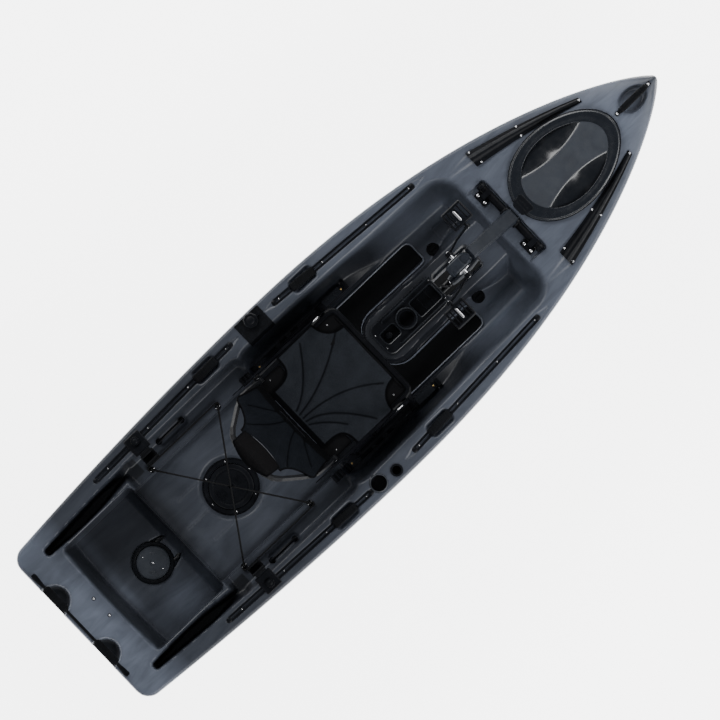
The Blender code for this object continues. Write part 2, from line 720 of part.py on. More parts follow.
def paddle_holders():
    """Brackets clamped to the rear tracks, each with a snap clip for a paddle shaft on its inner end."""
    for side, sign in SIDES.items():
        a, b = TRACKS["rear_" + side]
        y = a.lerp(b, (BRACKET_X - a.x) / (b.x - a.x)).y
        low, high = sorted((y - sign * 0.052, y + sign * 0.030))
        z = TRACK_TOP + 0.0006
        bracket = box("paddle_bracket_" + side, (BRACKET_X - 0.038, low, z), (BRACKET_X + 0.038, high, z + 0.007),
                      BLACK, bevel=0.003)
        join(bracket, rod("knob_" + side, (BRACKET_X, y, z + 0.013), 0.0155, 0.016, cutter=True, sides=16))
        middle = y - sign * 0.086
        height = z - 0.006
        clip = rod("paddle_clip_" + side, (BRACKET_X, middle, height), 0.0235, 0.062, "X", RUBBER, sides=24)
        cut(clip, rod("shaft_" + side, (BRACKET_X, middle, height), 0.0165, 0.1, "X", cutter=True, sides=24))
        cut(clip, box("mouth_" + side, (BRACKET_X - 0.1, middle - 0.0125, height),
                      (BRACKET_X + 0.1, middle + 0.0125, height + 0.05), cutter=True))
        low, high = sorted((middle + sign * 0.0205, y - sign * 0.0525))
        join(clip, box("web_" + side, (BRACKET_X - 0.025, low, z + 0.0005), (BRACKET_X + 0.025, high, z + 0.006),
                       cutter=True))


# ---------------------------------------------------------------- seat


def bent(corners, radius, steps=3, closed=False):
    """A path through 3D corners with each one rounded."""
    points = [Vector(p) for p in corners]
    count = len(points)
    path = []
    for i in range(count):
        if not closed and i in (0, count - 1):
            path.append(points[i])
            continue
        here = points[i]
        back = points[i - 1] - here
        ahead = points[(i + 1) % count] - here
        reach = min(radius, back.length / 2.2, ahead.length / 2.2)
        start = here + back.normalized() * reach
        end = here + ahead.normalized() * reach
        for k in range(steps + 1):
            t = k / steps
            path.append(start * (1 - t) ** 2 + here * 2 * t * (1 - t) + end * t**2)
    return path


RAIL_TOP = LEDGE_Z + 0.024


def seat_rails():
    for side, sign in SIDES.items():
        low, high = sorted((sign * 0.2520, sign * 0.2860))
        rail = box("seat_rail_" + side, (-0.3560, low, LEDGE_Z + GAP), (0.1137, high, RAIL_TOP), BLACK, bevel=0.003)
        for k in range(4):
            x = -0.320 + 0.115 * k
            cut(rail, box(f"rail_slot_{side}_{k}", (x, sign * 0.269 - 0.006, RAIL_TOP - 0.010),
                          (x + 0.070, sign * 0.269 + 0.006, RAIL_TOP + 0.02), cutter=True))


def seat_frame():
    """A tube ring on two bent legs, each leg standing on a rail."""
    ring = bent([(FRAME_X0, -SEAT_HALF, SEAT_Z - 0.02), (SEAT_X1, -SEAT_HALF, SEAT_Z),
                 (SEAT_X1, SEAT_HALF, SEAT_Z), (FRAME_X0, SEAT_HALF, SEAT_Z - 0.02)], 0.03, closed=True)
    frame = as_mesh(tube("seat_frame", ring, TUBE_R, ALUMINIUM, closed=True), ALUMINIUM)
    for side, sign in SIDES.items():
        y = sign * 0.262
        foot_z = RAIL_TOP + TUBE_R + 0.0006
        leg = bent([(SEAT_X0 + 0.02, sign * SEAT_HALF, SEAT_Z - 0.018), (-0.318, y, foot_z + 0.03),
                    (-0.300, y, foot_z), (-0.020, y, foot_z), (-0.002, y, foot_z + 0.03),
                    (SEAT_X1 - 0.02, sign * SEAT_HALF, SEAT_Z - 0.002)], 0.03)
        join(frame, as_mesh(tube("leg_" + side, leg, TUBE_R, cutter=True)))
        ear = BACK_PIVOT + Vector((0, sign * (SEAT_HALF + 0.004), 0))
        join(frame, box("ear_" + side, (ear.x - 0.014, ear.y - 0.003, SEAT_Z - 0.024),
                        (ear.x + 0.016, ear.y + 0.003, ear.z + 0.014), cutter=True))
    brace_ends = [(-0.200, y, RAIL_TOP + TUBE_R) for y in (-0.255, 0.255)]
    return join(frame, as_mesh(tube("brace", brace_ends, 0.009, cutter=True)))


def seat_sling():
    outline = rounded(taper(SEAT_X0 - 0.010, SEAT_X1 + 0.018, 0.236, 0.236), 0.05)
    top, bottom = TUBE_R + 0.0100, TUBE_R + 0.0008

    def height(x):
        return SEAT_Z - 0.02 * (SEAT_X1 - x) / (SEAT_X1 - SEAT_X0)

    rings = [[(x, y, height(x) + lift) for x, y in outline] for lift in (bottom, top)]
    return loft("seat_sling", rings, FABRIC)


RECLINE = math.radians(34)
UP_BACK = Vector((-math.sin(RECLINE), 0, math.cos(RECLINE)))
BACK_HIGH = 0.440


def backrest():
    """A U-shaped tube with a fabric sling on its front, on pins through the seat frame's ears."""
    def at(up, y, out=0.0):
        front = Vector((math.cos(RECLINE), 0, math.sin(RECLINE)))
        return BACK_PIVOT + UP_BACK * up + front * out + Vector((0, y, 0))

    loop = bent([at(0, -0.212), at(0.18, -0.216), at(BACK_HIGH - 0.01, -0.110), at(BACK_HIGH - 0.01, 0.110),
                 at(0.18, 0.216), at(0, 0.212)], 0.07)
    frame = as_mesh(tube("backrest_frame", loop, TUBE_R, ALUMINIUM), ALUMINIUM)
    for side, sign in SIDES.items():
        join(frame, rod("hub_" + side, at(0, sign * 0.2145), 0.016, 0.022, "Y", cutter=True, sides=20))
    across = tube("cross", [at(0.05, -0.212), at(0.05, 0.212)], 0.009, cutter=True)
    join(frame, as_mesh(across))
    outline = rounded([(0.028, -0.200), (0.20, -0.222), (BACK_HIGH, -0.122), (BACK_HIGH, 0.122), (0.20, 0.222),
                       (0.028, 0.200)][::-1], 0.03)
    rings = [[at(u, y, out) for u, y in outline] for out in (TUBE_R + 0.0008, TUBE_R + 0.010)]
    loft("backrest_sling", rings, FABRIC)


def seat_straps():
    """Webbing from half way up the back to the front corners of the seat frame."""
    for side, sign in SIDES.items():
        top = BACK_PIVOT + UP_BACK * 0.20 + Vector((0.0, sign * 0.240, 0.0))
        bottom = Vector((SEAT_X1 - 0.035, sign * 0.2440, SEAT_Z + 0.003))
        run = (bottom - top).normalized()
        across = Vector((0, 1, 0)) * 0.0012
        up = run.cross(Vector((0, 1, 0))).normalized() * 0.0125
        rings = [[p + across + up, p - across + up, p - across - up, p + across - up] for p in (top, bottom)]
        loft("seat_strap_" + side, rings, FABRIC)


# ---------------------------------------------------------------- pedal drive


def pivot():
    rod("drive_crossbar", PIVOT, BAR_R, 0.356, "Y", ALUMINIUM, sides=24)
    for side, sign in SIDES.items():
        y = sign * 0.134
        clamp = box("pivot_clamp_" + side, (0.7460, y - 0.030, 0.3240), (0.7990, y + 0.030, 0.3295), BLACK)
        join(clamp, box("saddle_" + side, (0.7660, y - 0.011, 0.3250), (0.8110, y + 0.011, PIVOT.z + 0.0215),
                        cutter=True))
        cut(clamp, rod("bearing_" + side, (PIVOT.x, y, PIVOT.z), BAR_R + 0.0006, 0.08, "Y", cutter=True, sides=24))


def drive_arm():
    """The beam from the crossbar back and up to the crank housing."""
    rear = Vector((0.573, 0, 0.505))
    rings = []
    front = PIVOT + Vector((0.010, 0, 0.001))
    for share, half, tall in ((0, 0.026, 0.020), (0.25, 0.027, 0.020), (0.8, 0.032, 0.020), (1, 0.034, 0.0195)):
        at = rear.lerp(front, share)
        rings.append([(at.x + 0.35 * dz, half * sy, at.z + dz) for sy, dz in
                      ((1, 0.6 * tall), (0.75, tall), (-0.75, tall), (-1, 0.6 * tall), (-1, -0.6 * tall),
                       (-0.75, -tall), (0.75, -tall), (1, -0.6 * tall))])
    arm = loft("drive_arm", rings, DARK_GREY)
    cut(arm, rod("arm_bore", PIVOT, BAR_R + GAP, 0.2, "Y", cutter=True, sides=24))
    collar = rod("collar", PIVOT, BAR_R + 0.004, 0.030, "Y", cutter=True, sides=24)
    return join(arm, cut(collar, rod("collar_bore", PIVOT, BAR_R + GAP, 0.2, "Y", cutter=True, sides=24)))


def capsule(top, r_top, low, r_low, y, steps=7):
    """A stadium outline in XZ round two centres."""
    ring = []
    for centre, r, start in ((top, r_top, 0), (low, r_low, 180)):
        for k in range(steps + 1):
            a = math.radians(start + 180 * k / steps)
            ring.append((centre.x + r * math.cos(a), y, centre.z + r * math.sin(a)))
    return ring


COLUMN_TOP = 0.420
HOUSING_HALF = 0.026


def drive_housing():
    low = CRANK + Vector((0, 0, -0.085))
    outer = [capsule(CRANK, r, low, r - 0.014, y) for y, r in
             ((-HOUSING_HALF, 0.044), (-HOUSING_HALF + 0.006, 0.052), (HOUSING_HALF - 0.006, 0.052), (HOUSING_HALF, 0.044))]
    shell = smooth(loft("drive_housing", outer, DARK_GREY))
    inner = [capsule(CRANK, 0.045, low + Vector((0, 0, 0.010)), 0.031, y) for y in (-0.021, 0.021)]
    cut(shell, loft("housing_inside", inner, cutter=True))
    cut(shell, rod("axle_bore", CRANK, 0.0086, 0.1, "Y", cutter=True, sides=20))
    cut(shell, rod("shaft_bore", (CRANK.x, 0, 0.38), 0.0120, 0.09, cutter=True, sides=16))
    cap = rod("housing_cap", (CRANK.x + 0.038, 0, 0.5405), 0.0195, 0.020, cutter=True, sides=24)
    cut(cap, loft("cap_inside", inner, cutter=True))
    return join(shell, cap)


def side_covers():
    for side, sign in SIDES.items():
        y = sign * (HOUSING_HALF + GAP + 0.002)
        cover = rod("side_cover_" + side, (CRANK.x, y, CRANK.z), 0.040, 0.004, "Y", CHROME, sides=36)
        cut(cover, rod("cover_bore_" + side, (CRANK.x, y, CRANK.z), 0.0088, 0.05, "Y", cutter=True, sides=20))


def foil(x, z, chord, thick, steps=12):
    """A streamlined level ring, round to the front and thin to the rear."""
    ring = []
    for i in range(steps):
        a = 2 * math.pi * i / steps
        u = math.cos(a)
        ring.append((x + chord / 2 * u, thick / 2 * math.sin(a) * (1 + 0.25 * u), z))
    return ring


COLUMN_FOOT = PROP.z + 0.0275


def drive_column():
    top = CRANK.z - 0.085 - 0.038 - GAP
    column = loft("drive_column", [foil(CRANK.x, z, chord, thick) for z, chord, thick in
                                   ((top, 0.056, 0.036), (0.10, 0.056, 0.032), (COLUMN_FOOT + GAP, 0.052, 0.026))],
                  DARK_GREY)
    smooth(column)
    return cut(column, rod("column_bore", (CRANK.x, 0, 0.12), 0.0070, 0.9, cutter=True, sides=12))


def lower_unit():
    def round_ring(x, r):
        return [(x, r * math.cos(a), PROP.z + r * math.sin(a)) for a in (math.pi * k / 7 for k in range(14))]

    stops = ((0.446, 0.0185), (0.460, 0.0225), (0.500, 0.0245), (0.545, 0.0235), (0.585, 0.0170), (0.606, 0.0080),
             (0.612, 0.0020))
    pod = smooth(loft("lower_unit", [round_ring(x, r) for x, r in stops], DARK_GREY))
    join(pod, loft("pod_neck", [foil(CRANK.x, z, 0.052, 0.026) for z in (PROP.z, COLUMN_FOOT)], cutter=True))
    join(pod, loft("skeg", [foil(0.535, z, chord, 0.007) for z, chord in ((PROP.z - 0.010, 0.070), (-0.262, 0.030))],
                   cutter=True))
    cut(pod, rod("pod_inside", (0.5125, 0, PROP.z), 0.0190, 0.060, "X", cutter=True, sides=20))
    cut(pod, rod("pod_shaft_bore", (0.4600, 0, PROP.z), 0.0055, 0.060, "X", cutter=True, sides=12))
    cut(pod, rod("pod_top_bore", (CRANK.x, 0, PROP.z + 0.030), 0.0070, 0.060, cutter=True, sides=12))
    return pod


def crank_axle():
    axle = rod("crank_axle", CRANK, 0.0080, 0.124, "Y", CHROME)
    return join(axle, rod("drive_bevel", CRANK + Vector((0, 0.0095, 0)), 0.0300, 0.008, "Y", cutter=True,
                          sides=28, end_radius=0.0265))


def cranks():
    """Port crank points forward and starboard crank aft; each carries its pedal spindle."""
    for side, sign in SIDES.items():
        boss = CRANK + Vector((0, sign * 0.0560, 0))
        end = CRANK + Vector((sign * CRANK_LENGTH, sign * 0.0860, 0))
        crank = rod("crank_" + side, boss, 0.0150, 0.018, "Y", BLACK, sides=20)
        cut(crank, rod("boss_bore_" + side, boss, 0.0083, 0.1, "Y", cutter=True, sides=20))
        middle = boss.lerp(end, 0.5) + Vector((0, sign * 0.006, 0))
        rings = []
        start = boss + Vector((sign * 0.011, sign * 0.003, 0))
        for at, thick, tall in ((start, 0.0055, 0.0120), (middle, 0.0050, 0.0105), (end, 0.0050, 0.0100)):
            rings.append([(at.x, at.y + thick * u, at.z + tall * v) for u, v in
                          ((1, 0.6), (0.6, 1), (-0.6, 1), (-1, 0.6), (-1, -0.6), (-0.6, -1), (0.6, -1), (1, -0.6))])
        join(crank, loft("crank_web_" + side, rings, cutter=True))
        join(crank, rod("crank_eye_" + side, end, 0.0130, 0.013, "Y", cutter=True, sides=20))
        join(crank, rod("spindle_" + side, end + Vector((0, sign * 0.053, 0)), 0.0050, 0.106, "Y", cutter=True,
                        sides=12))


def pedals():
    for side, sign in SIDES.items():
        x = CRANK.x + sign * CRANK_LENGTH
        low, high = sorted((sign * 0.1010, sign * 0.1900))
        pedal = box("pedal_" + side, (x - 0.049, low, CRANK.z - 0.0115), (x + 0.049, high, CRANK.z + 0.0115), BLACK,
                    bevel=0.005)
        for k, turn in enumerate((1, -1)):
            a, b = sorted((x + turn * 0.012, x + turn * 0.040))
            cut(pedal, box(f"window_{side}_{k}", (a, low + 0.012, CRANK.z - 0.05), (b, high - 0.012, CRANK.z + 0.05),
                           cutter=True))
        cut(pedal, rod("pedal_bore_" + side, (x, sign * 0.145, CRANK.z), 0.0060, 0.2, "Y", cutter=True, sides=16))


SHAFT_R = 0.0040


def shafts():
    """The upright shaft and the propeller shaft with their bevel gears, as smooth wheels."""
    top, foot = CRANK.z - 0.0145, PROP.z + 0.0072
    upright = rod("vertical_shaft", (CRANK.x, 0, (top + foot) / 2), SHAFT_R, top - foot, look=CHROME, sides=12)
    join(upright, rod("top_pinion", (CRANK.x, 0, CRANK.z - 0.0235), 0.0050, 0.009, cutter=True, sides=16))
    join(upright, rod("foot_wheel", (CRANK.x, 0, PROP.z + 0.0095), 0.0125, 0.005, cutter=True))
    shaft = rod("prop_shaft", (0.4505, 0, PROP.z), SHAFT_R, 0.082, "X", CHROME, sides=12)
    join(shaft, rod("prop_pinion", (0.4985, 0, PROP.z), 0.0063, 0.005, "X", cutter=True, sides=16))
    join(shaft, rod("prop_neck", (0.4935, 0, PROP.z), 0.0045, 0.008, "X", cutter=True, sides=12))


def propeller():
    """Two twisted blades on a hub; they drive the boat ahead when the cranks are pedalled forwards."""
    hub = rod("propeller", PROP, 0.0150, 0.044, "X", BLACK)
    for k, turn in enumerate((1, -1)):
        rings = []
        for share in (0.0, 0.25, 0.5, 0.75, 0.93, 1.0):
            r = 0.008 + (PROP_R - 0.008) * share
            pitch = -math.atan2(0.045, r + 0.006)
            half = 0.021 * (0.55 + 2.1 * share * (1 - share)) * (1 - 0.55 * share**6)
            thick = 0.0032 * (1 - 0.6 * share)
            ring = []
            for u, v in ((1, 0), (0.5, 1), (-0.5, 1), (-1, 0), (-0.5, -1), (0.5, -1)):
                along_x = half * u * math.sin(pitch) + thick * v * math.cos(pitch)
                across = half * u * math.cos(pitch) - thick * v * math.sin(pitch)
                ring.append((PROP.x + along_x, turn * across, PROP.z + turn * r))
            rings.append(ring)
        join(hub, loft(f"blade_{k}", rings, cutter=True))
    return cut(hub, rod("prop_bore", PROP + Vector((0.008, 0, 0)), SHAFT_R + GAP, 0.040, "X", cutter=True, sides=12))


def build():
    hull()
    gear_tracks()
    side_handles()
    bow_handle()
    stern_handle()
    rod_tip_covers()
    mount_plate()
    rod_holder()
    bow_hatch()
    round_hatch()
    stern_cap()
    scupper_plugs()
    floor_pad()
    console_tray()
    pad_eyes()
    bungee()
    paddle_holders()
    seat_rails()
    seat_frame()
    seat_sling()
    backrest()
    seat_straps()
    pivot()
    drive_arm()
    drive_housing()
    side_covers()
    drive_column()
    lower_unit()
    crank_axle()
    cranks()
    pedals()
    shafts()
    propeller()


build()
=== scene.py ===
"""The looks of a sit-on-top fishing kayak with a pedal drive.

Metres, +X to the bow, +Y to port, +Z up; the keel's flat is at z = 0. Sizes that a piece shares with
the CAD model are named values here with the CAD model's numbers.
"""

import math

import bmesh
import bpy
import numpy as np
from mathutils import Matrix, Vector


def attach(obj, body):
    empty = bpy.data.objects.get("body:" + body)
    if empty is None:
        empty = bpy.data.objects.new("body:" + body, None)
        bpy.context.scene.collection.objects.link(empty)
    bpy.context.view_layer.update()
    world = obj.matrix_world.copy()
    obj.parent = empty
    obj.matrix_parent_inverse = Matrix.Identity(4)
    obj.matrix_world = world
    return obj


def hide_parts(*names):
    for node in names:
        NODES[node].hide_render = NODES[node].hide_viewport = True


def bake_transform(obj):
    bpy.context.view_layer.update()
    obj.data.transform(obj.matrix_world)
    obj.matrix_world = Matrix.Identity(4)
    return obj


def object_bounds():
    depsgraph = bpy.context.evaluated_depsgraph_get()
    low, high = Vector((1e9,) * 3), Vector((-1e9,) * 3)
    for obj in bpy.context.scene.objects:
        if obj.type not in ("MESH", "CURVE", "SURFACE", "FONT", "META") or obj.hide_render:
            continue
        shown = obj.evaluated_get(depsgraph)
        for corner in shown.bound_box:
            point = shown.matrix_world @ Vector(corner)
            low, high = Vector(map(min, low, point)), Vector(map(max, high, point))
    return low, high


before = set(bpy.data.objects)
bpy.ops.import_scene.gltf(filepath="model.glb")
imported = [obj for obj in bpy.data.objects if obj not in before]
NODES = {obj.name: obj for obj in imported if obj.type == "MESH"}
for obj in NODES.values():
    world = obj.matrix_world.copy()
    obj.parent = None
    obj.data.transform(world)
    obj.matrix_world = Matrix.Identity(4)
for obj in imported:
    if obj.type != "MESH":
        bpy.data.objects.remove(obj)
CAD_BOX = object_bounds()

# Hull form
HALF_BEAM = 0.4605
X_STERN, X_BOW = -1.600, 1.600
SHARP_BOW = 1.606
BOW_ROUND = 0.006
X_WIDEST = -0.2386
STERN_CORNER = 0.058
GUNWALE_Z = 0.335
BOW_RISE = 0.085
CROWN = 0.025
EDGE_ROUND = 0.014

# Levels inside the hull
LEDGE_Z = 0.200
FLOOR_Z = 0.130
SHELF_Z = 0.245
TANK_Z = 0.215
CONSOLE_Z = 0.235
CHANNEL_Z = 0.225

# Places of the fittings
CRANK = Vector((0.510, 0.0, 0.500))
CRANK_LENGTH = 0.130
PIVOT = Vector((0.7945, 0.0, 0.3455))
HATCH_X0, HATCH_X1 = 0.8505, 1.3497
HATCH_HALF = 0.174
HATCH_LEAN = 0.124
ROUND_HATCH = Vector((-0.7624, 0.0, TANK_Z))
STERN_CAP = Vector((-1.203, 0.0, FLOOR_Z))
CUP = Vector((-0.3235, -0.4036, GUNWALE_Z))
ROD_HOLE = Vector((-0.2358, -0.4160, GUNWALE_Z))
KNOB = Vector((-0.2438, 0.4216, GUNWALE_Z))
BRACKET_X = -0.913
PAD_EYES_X, PAD_EYES_Y = (-0.944, -0.5788), 0.2668
GRIPS_X = {"rear": -0.5110, "front": 0.0200}
TRACK_TOP = GUNWALE_Z + 0.0015
SIDES = {"port": 1, "starboard": -1}
TRACKS = {}
for side, sign in SIDES.items():
    TRACKS["rear_" + side] = (Vector((-1.1315, sign * 0.3864)), Vector((-0.375, sign * 0.4084)))
    TRACKS["front_" + side] = (Vector((-0.1225, sign * 0.4076)), Vector((0.590, sign * 0.3640)))


# ---------------------------------------------------------------- camera, light and floor

DECK_VIEW = 2.883  # the width that the picture covers at the gunwale's height
VIEW_AT = Vector((-0.0368, 0.0044, GUNWALE_Z))
VIEW_UP = Vector((0.6915, 0.7224, 0.0))
VIEW_HIGH = 40.0
VIEW_TILT = math.radians(2.5)
SLOT_SHADE = (0.39, 0.46, 0.22)  # a painted shadow on the floor under the drive slot, a dark oval that does not glow: middle, half length, half width
FLOOR_GLOW = 4.5


def add_camera():
    """Almost straight above, a little to starboard of the centre plane."""
    eye = VIEW_AT + VIEW_HIGH * Vector((0, -math.sin(VIEW_TILT), math.cos(VIEW_TILT)))
    ahead = (VIEW_AT - eye).normalized()
    right = ahead.cross(VIEW_UP).normalized()
    up = right.cross(ahead)
    data = bpy.data.cameras.new("camera")
    data.lens = data.sensor_width * VIEW_HIGH / DECK_VIEW
    camera = bpy.data.objects.new("camera", data)
    bpy.context.scene.collection.objects.link(camera)
    turn = Matrix((right, up, -ahead)).transposed().to_4x4()
    camera.matrix_world = Matrix.Translation(eye) @ turn
    bpy.context.scene.camera = camera


def add_light(name, at, aim, size, power):
    """A rectangular lamp that faces one point."""
    data = bpy.data.lights.new(name, "AREA")
    data.shape = "RECTANGLE"
    data.size, data.size_y = size
    data.energy = power
    lamp = bpy.data.objects.new(name, data)
    bpy.context.scene.collection.objects.link(lamp)
    lamp.location = at
    lamp.rotation_euler = (Vector(aim) - Vector(at)).to_track_quat("-Z", "Y").to_euler()


def add_studio():
    """A sky that is pale at the horizon and dim overhead, a long soft light along each side, and a glowing pale floor
    with a painted shadow under the drive slot.
    """
    world = bpy.data.worlds.new("studio")
    bpy.context.scene.world = world
    world.use_nodes = True
    tree = world.node_tree
    where = tree.nodes.new("ShaderNodeTexCoord")
    split = tree.nodes.new("ShaderNodeSeparateXYZ")
    fade = tree.nodes.new("ShaderNodeMapRange")
    fade.inputs[1].default_value, fade.inputs[2].default_value = 0.15, 0.95
    fade.inputs[3].default_value, fade.inputs[4].default_value = 1.1, 0.10
    sky = tree.nodes["Background"]
    sky.inputs["Color"].default_value = (0.95, 0.97, 1.0, 1.0)
    tree.links.new(where.outputs["Generated"], split.inputs[0])
    tree.links.new(split.outputs["Z"], fade.inputs[0])
    tree.links.new(fade.outputs[0], sky.inputs["Strength"])
    add_light("port_strip", (0.3, 3.0, 2.9), (0.0, 0.0, 0.3), (4.2, 1.3), 165)
    add_light("starboard_strip", (0.1, -3.0, 2.9), (0.0, 0.0, 0.3), (4.2, 1.3), 190)
    add_light("bow_box", (4.0, 0.3, 2.4), (0.8, 0.0, 0.3), (1.4, 2.0), 50)
    bm = bmesh.new()
    bmesh.ops.create_grid(bm, x_segments=1, y_segments=1, size=14.0)
    mesh = bpy.data.meshes.new("floor")
    bm.to_mesh(mesh)
    bm.free()
    floor = bpy.data.objects.new("floor", mesh)
    bpy.context.scene.collection.objects.link(floor)
    floor.location.z = CAD_BOX[0][2] - 0.004
    m = Nodes("pale_floor", 0.9, specular=0.1)
    m.shader.inputs["Emission Color"].default_value = (1.0, 1.0, 1.0, 1.0)
    # Painted shadow: inside the oval under the drive slot the floor turns dark and stops glowing, so the slot looks
    # dark from above.
    middle, long, wide = SLOT_SHADE
    oval = m.add("ShaderNodeMapping", {"Vector": m.add("ShaderNodeTexCoord", output="Object"),
                                       "Scale": (1 / long, 1 / wide, 0.0), "Location": (-middle / long, 0.0, 0.0)})
    far = m.add("ShaderNodeVectorMath", {0: oval}, output="Value", operation="LENGTH")
    m.to(m.ramp(far, 0.50, 1.05, 0.02, 0.90), "Base Color")
    m.to(m.ramp(far, 0.50, 1.05, 0.0, FLOOR_GLOW), "Emission Strength")
    mesh.materials.append(m.material)


# ---------------------------------------------------------------- materials


class Nodes:
    """Builds one material's node tree; each call adds a node and returns its output socket."""

    def __init__(self, name, roughness, metallic=0.0, specular=0.5):
        self.material = bpy.data.materials.new(name)
        self.material.use_nodes = True
        self.tree = self.material.node_tree
        self.shader = self.tree.nodes["Principled BSDF"]
        self.shader.inputs["Roughness"].default_value = roughness
        self.shader.inputs["Metallic"].default_value = metallic
        self.shader.inputs["Specular IOR Level"].default_value = specular

    def add(self, kind, values=None, output=0, **settings):
        node = self.tree.nodes.new(kind)
        for key, value in settings.items():
            setattr(node, key, value)
        for key, value in (values or {}).items():
            if isinstance(value, bpy.types.NodeSocket):
                self.tree.links.new(value, node.inputs[key])
            else:
                node.inputs[key].default_value = value
        return node.outputs[output]

    def place(self, scale=(1, 1, 1), turn=(0, 0, 0)):
        here = self.add("ShaderNodeTexCoord", output="Object")
        return self.add("ShaderNodeMapping", {"Vector": here, "Scale": scale, "Rotation": turn})

    def noise(self, scale, detail=2.0, rough=0.5, distortion=0.0, where=None):
        values = {"Scale": scale, "Detail": detail, "Roughness": rough, "Distortion": distortion}
        values["Vector"] = where or self.place()
        return self.add("ShaderNodeTexNoise", values)

    def ramp(self, factor, low, high, a=0.0, b=1.0):
        """Maps factor from low..high to a..b."""
        return self.add("ShaderNodeMapRange", {0: factor, 1: low, 2: high, 3: a, 4: b})

    def wave(self, scale, where, along):
        return self.add("ShaderNodeTexWave", {"Scale": scale, "Vector": where}, output=1, bands_direction=along)

    def maths(self, operation, a, b):
        return self.add("ShaderNodeMath", {0: a, 1: b}, operation=operation)

    def mix(self, factor, a, b):
        def colour(c):
            return c if isinstance(c, bpy.types.NodeSocket) else (*c, 1.0)

        node = self.tree.nodes.new("ShaderNodeMix")
        node.data_type = "RGBA"
        for key, value in ((0, factor), (6, colour(a)), (7, colour(b))):
            if isinstance(value, bpy.types.NodeSocket):
                self.tree.links.new(value, node.inputs[key])
            else:
                node.inputs[key].default_value = value
        return node.outputs[2]

    def bump(self, height, strength, distance=0.001, under=None):
        values = {"Height": height, "Strength": strength, "Distance": distance}
        if under:
            values["Normal"] = under
        made = self.add("ShaderNodeBump", values)
        self.tree.links.new(made, self.shader.inputs["Normal"])
        return made

    def to(self, socket, name):
        self.tree.links.new(socket, self.shader.inputs[name])


def hull_material():
    """Polyethylene with grey and black run together, paler where the tone attribute is high; that attribute also
    carries painted shade and painted highlights on the deck.
    """
    m = Nodes("swirled_polyethylene", 0.42, specular=0.30)
    tone = m.add("ShaderNodeAttribute", output="Fac", attribute_name="tone")
    slow = m.noise(2.3, 3.0, 0.55, 1.6, m.place((0.55, 1.3, 1.0)))
    streak = m.noise(7.0, 6.0, 0.62, 2.6, m.place((0.35, 1.9, 1.0), (0, 0, 0.12)))
    grain = m.noise(900.0, 2.0, 0.6)
    mixed = m.maths("ADD", m.ramp(slow, 0.3, 0.7, 0.35, 0.65), m.ramp(streak, 0.3, 0.7, 0.30, 0.70))
    level = m.maths("MULTIPLY", tone, mixed)
    base = m.mix(level, (0.0040, 0.0047, 0.0066), (0.150, 0.172, 0.222))
    speck = m.mix(m.ramp(grain, 0.35, 0.75, 0.0, 0.03), base, (0.16, 0.17, 0.20))
    m.to(speck, "Base Color")
    m.to(m.ramp(streak, 0.3, 0.7, 0.34, 0.46), "Roughness")
    fine = m.bump(m.noise(420.0, 3.0, 0.6), 0.10, 0.0004)
    m.bump(m.noise(26.0, 2.0, 0.5), 0.06, 0.002, fine)
    return m.material


def plain_material(name, dark, light, roughness, scale=350.0, bump=0.15, metallic=0.0, specular=0.5):
    """A moulded or coated surface with a fine grain and faint handling marks."""
    m = Nodes(name, roughness, metallic, specular)
    patches = m.noise(9.0, 4.0, 0.6)
    m.to(m.mix(m.ramp(patches, 0.35, 0.7), dark, light), "Base Color")
    m.to(m.ramp(m.noise(60.0, 3.0, 0.6), 0.3, 0.7, roughness * 0.85, min(1.0, roughness * 1.15)), "Roughness")
    m.bump(m.noise(scale, 3.0, 0.6), bump, 0.0004)
    return m.material


def wear_material(name, colour, roughness, worn, scratch=1400.0):
    """Brushed bright metal."""
    m = Nodes(name, roughness, 1.0)
    lines = m.noise(90.0, 4.0, 0.7, 0.0, m.place((1.0, 14.0, 14.0)))
    m.to(m.mix(m.ramp(lines, 0.3, 0.75), worn, colour), "Base Color")
    m.to(m.ramp(lines, 0.3, 0.7, roughness * 0.7, roughness * 1.5), "Roughness")
    m.bump(m.noise(scratch, 2.0, 0.5, 0.0, m.place((1.0, 8.0, 8.0))), 0.06, 0.0002)
    return m.material


HULL = hull_material()
BLACK = plain_material("black_plastic", (0.0018, 0.0021, 0.0029), (0.0044, 0.0051, 0.0068), 0.36, specular=0.12)
RUBBER = plain_material("black_rubber", (0.0014, 0.0016, 0.0021), (0.0036, 0.0041, 0.0053), 0.60, 520.0, 0.3,
                        specular=0.08)
LID = plain_material("hatch_plastic", (0.0030, 0.0034, 0.0044), (0.0062, 0.0068, 0.0086), 0.20, 500.0, 0.04,
                     specular=0.24)
DULL = plain_material("dull_black", (0.0012, 0.0012, 0.0015), (0.0028, 0.0029, 0.0034), 0.70, specular=0.05)
CAP = plain_material("cap_plastic", (0.016, 0.019, 0.024), (0.028, 0.032, 0.040), 0.42, 500.0, 0.08, specular=0.3)
TRIM = plain_material("satin_trim", (0.006, 0.007, 0.009), (0.011, 0.0125, 0.016), 0.26, specular=0.25)
CASING = plain_material("drive_casing", (0.0085, 0.0105, 0.0145), (0.0140, 0.0170, 0.0230), 0.50, 420.0, 0.12,
                        specular=0.15)
ANODISED = plain_material("black_anodised", (0.0016, 0.0018, 0.0024), (0.0038, 0.0042, 0.0054), 0.42, 900.0, 0.03,
                          0.0, 0.07)
WEBBING = plain_material("webbing", (0.0014, 0.0015, 0.0019), (0.0034, 0.0036, 0.0044), 1.0, 800.0, 0.3, specular=0.0)
STEEL = wear_material("bright_steel", (0.72, 0.72, 0.73), 0.22, (0.50, 0.50, 0.52))
BRASS = wear_material("brass", (0.52, 0.37, 0.16), 0.28, (0.36, 0.25, 0.11))

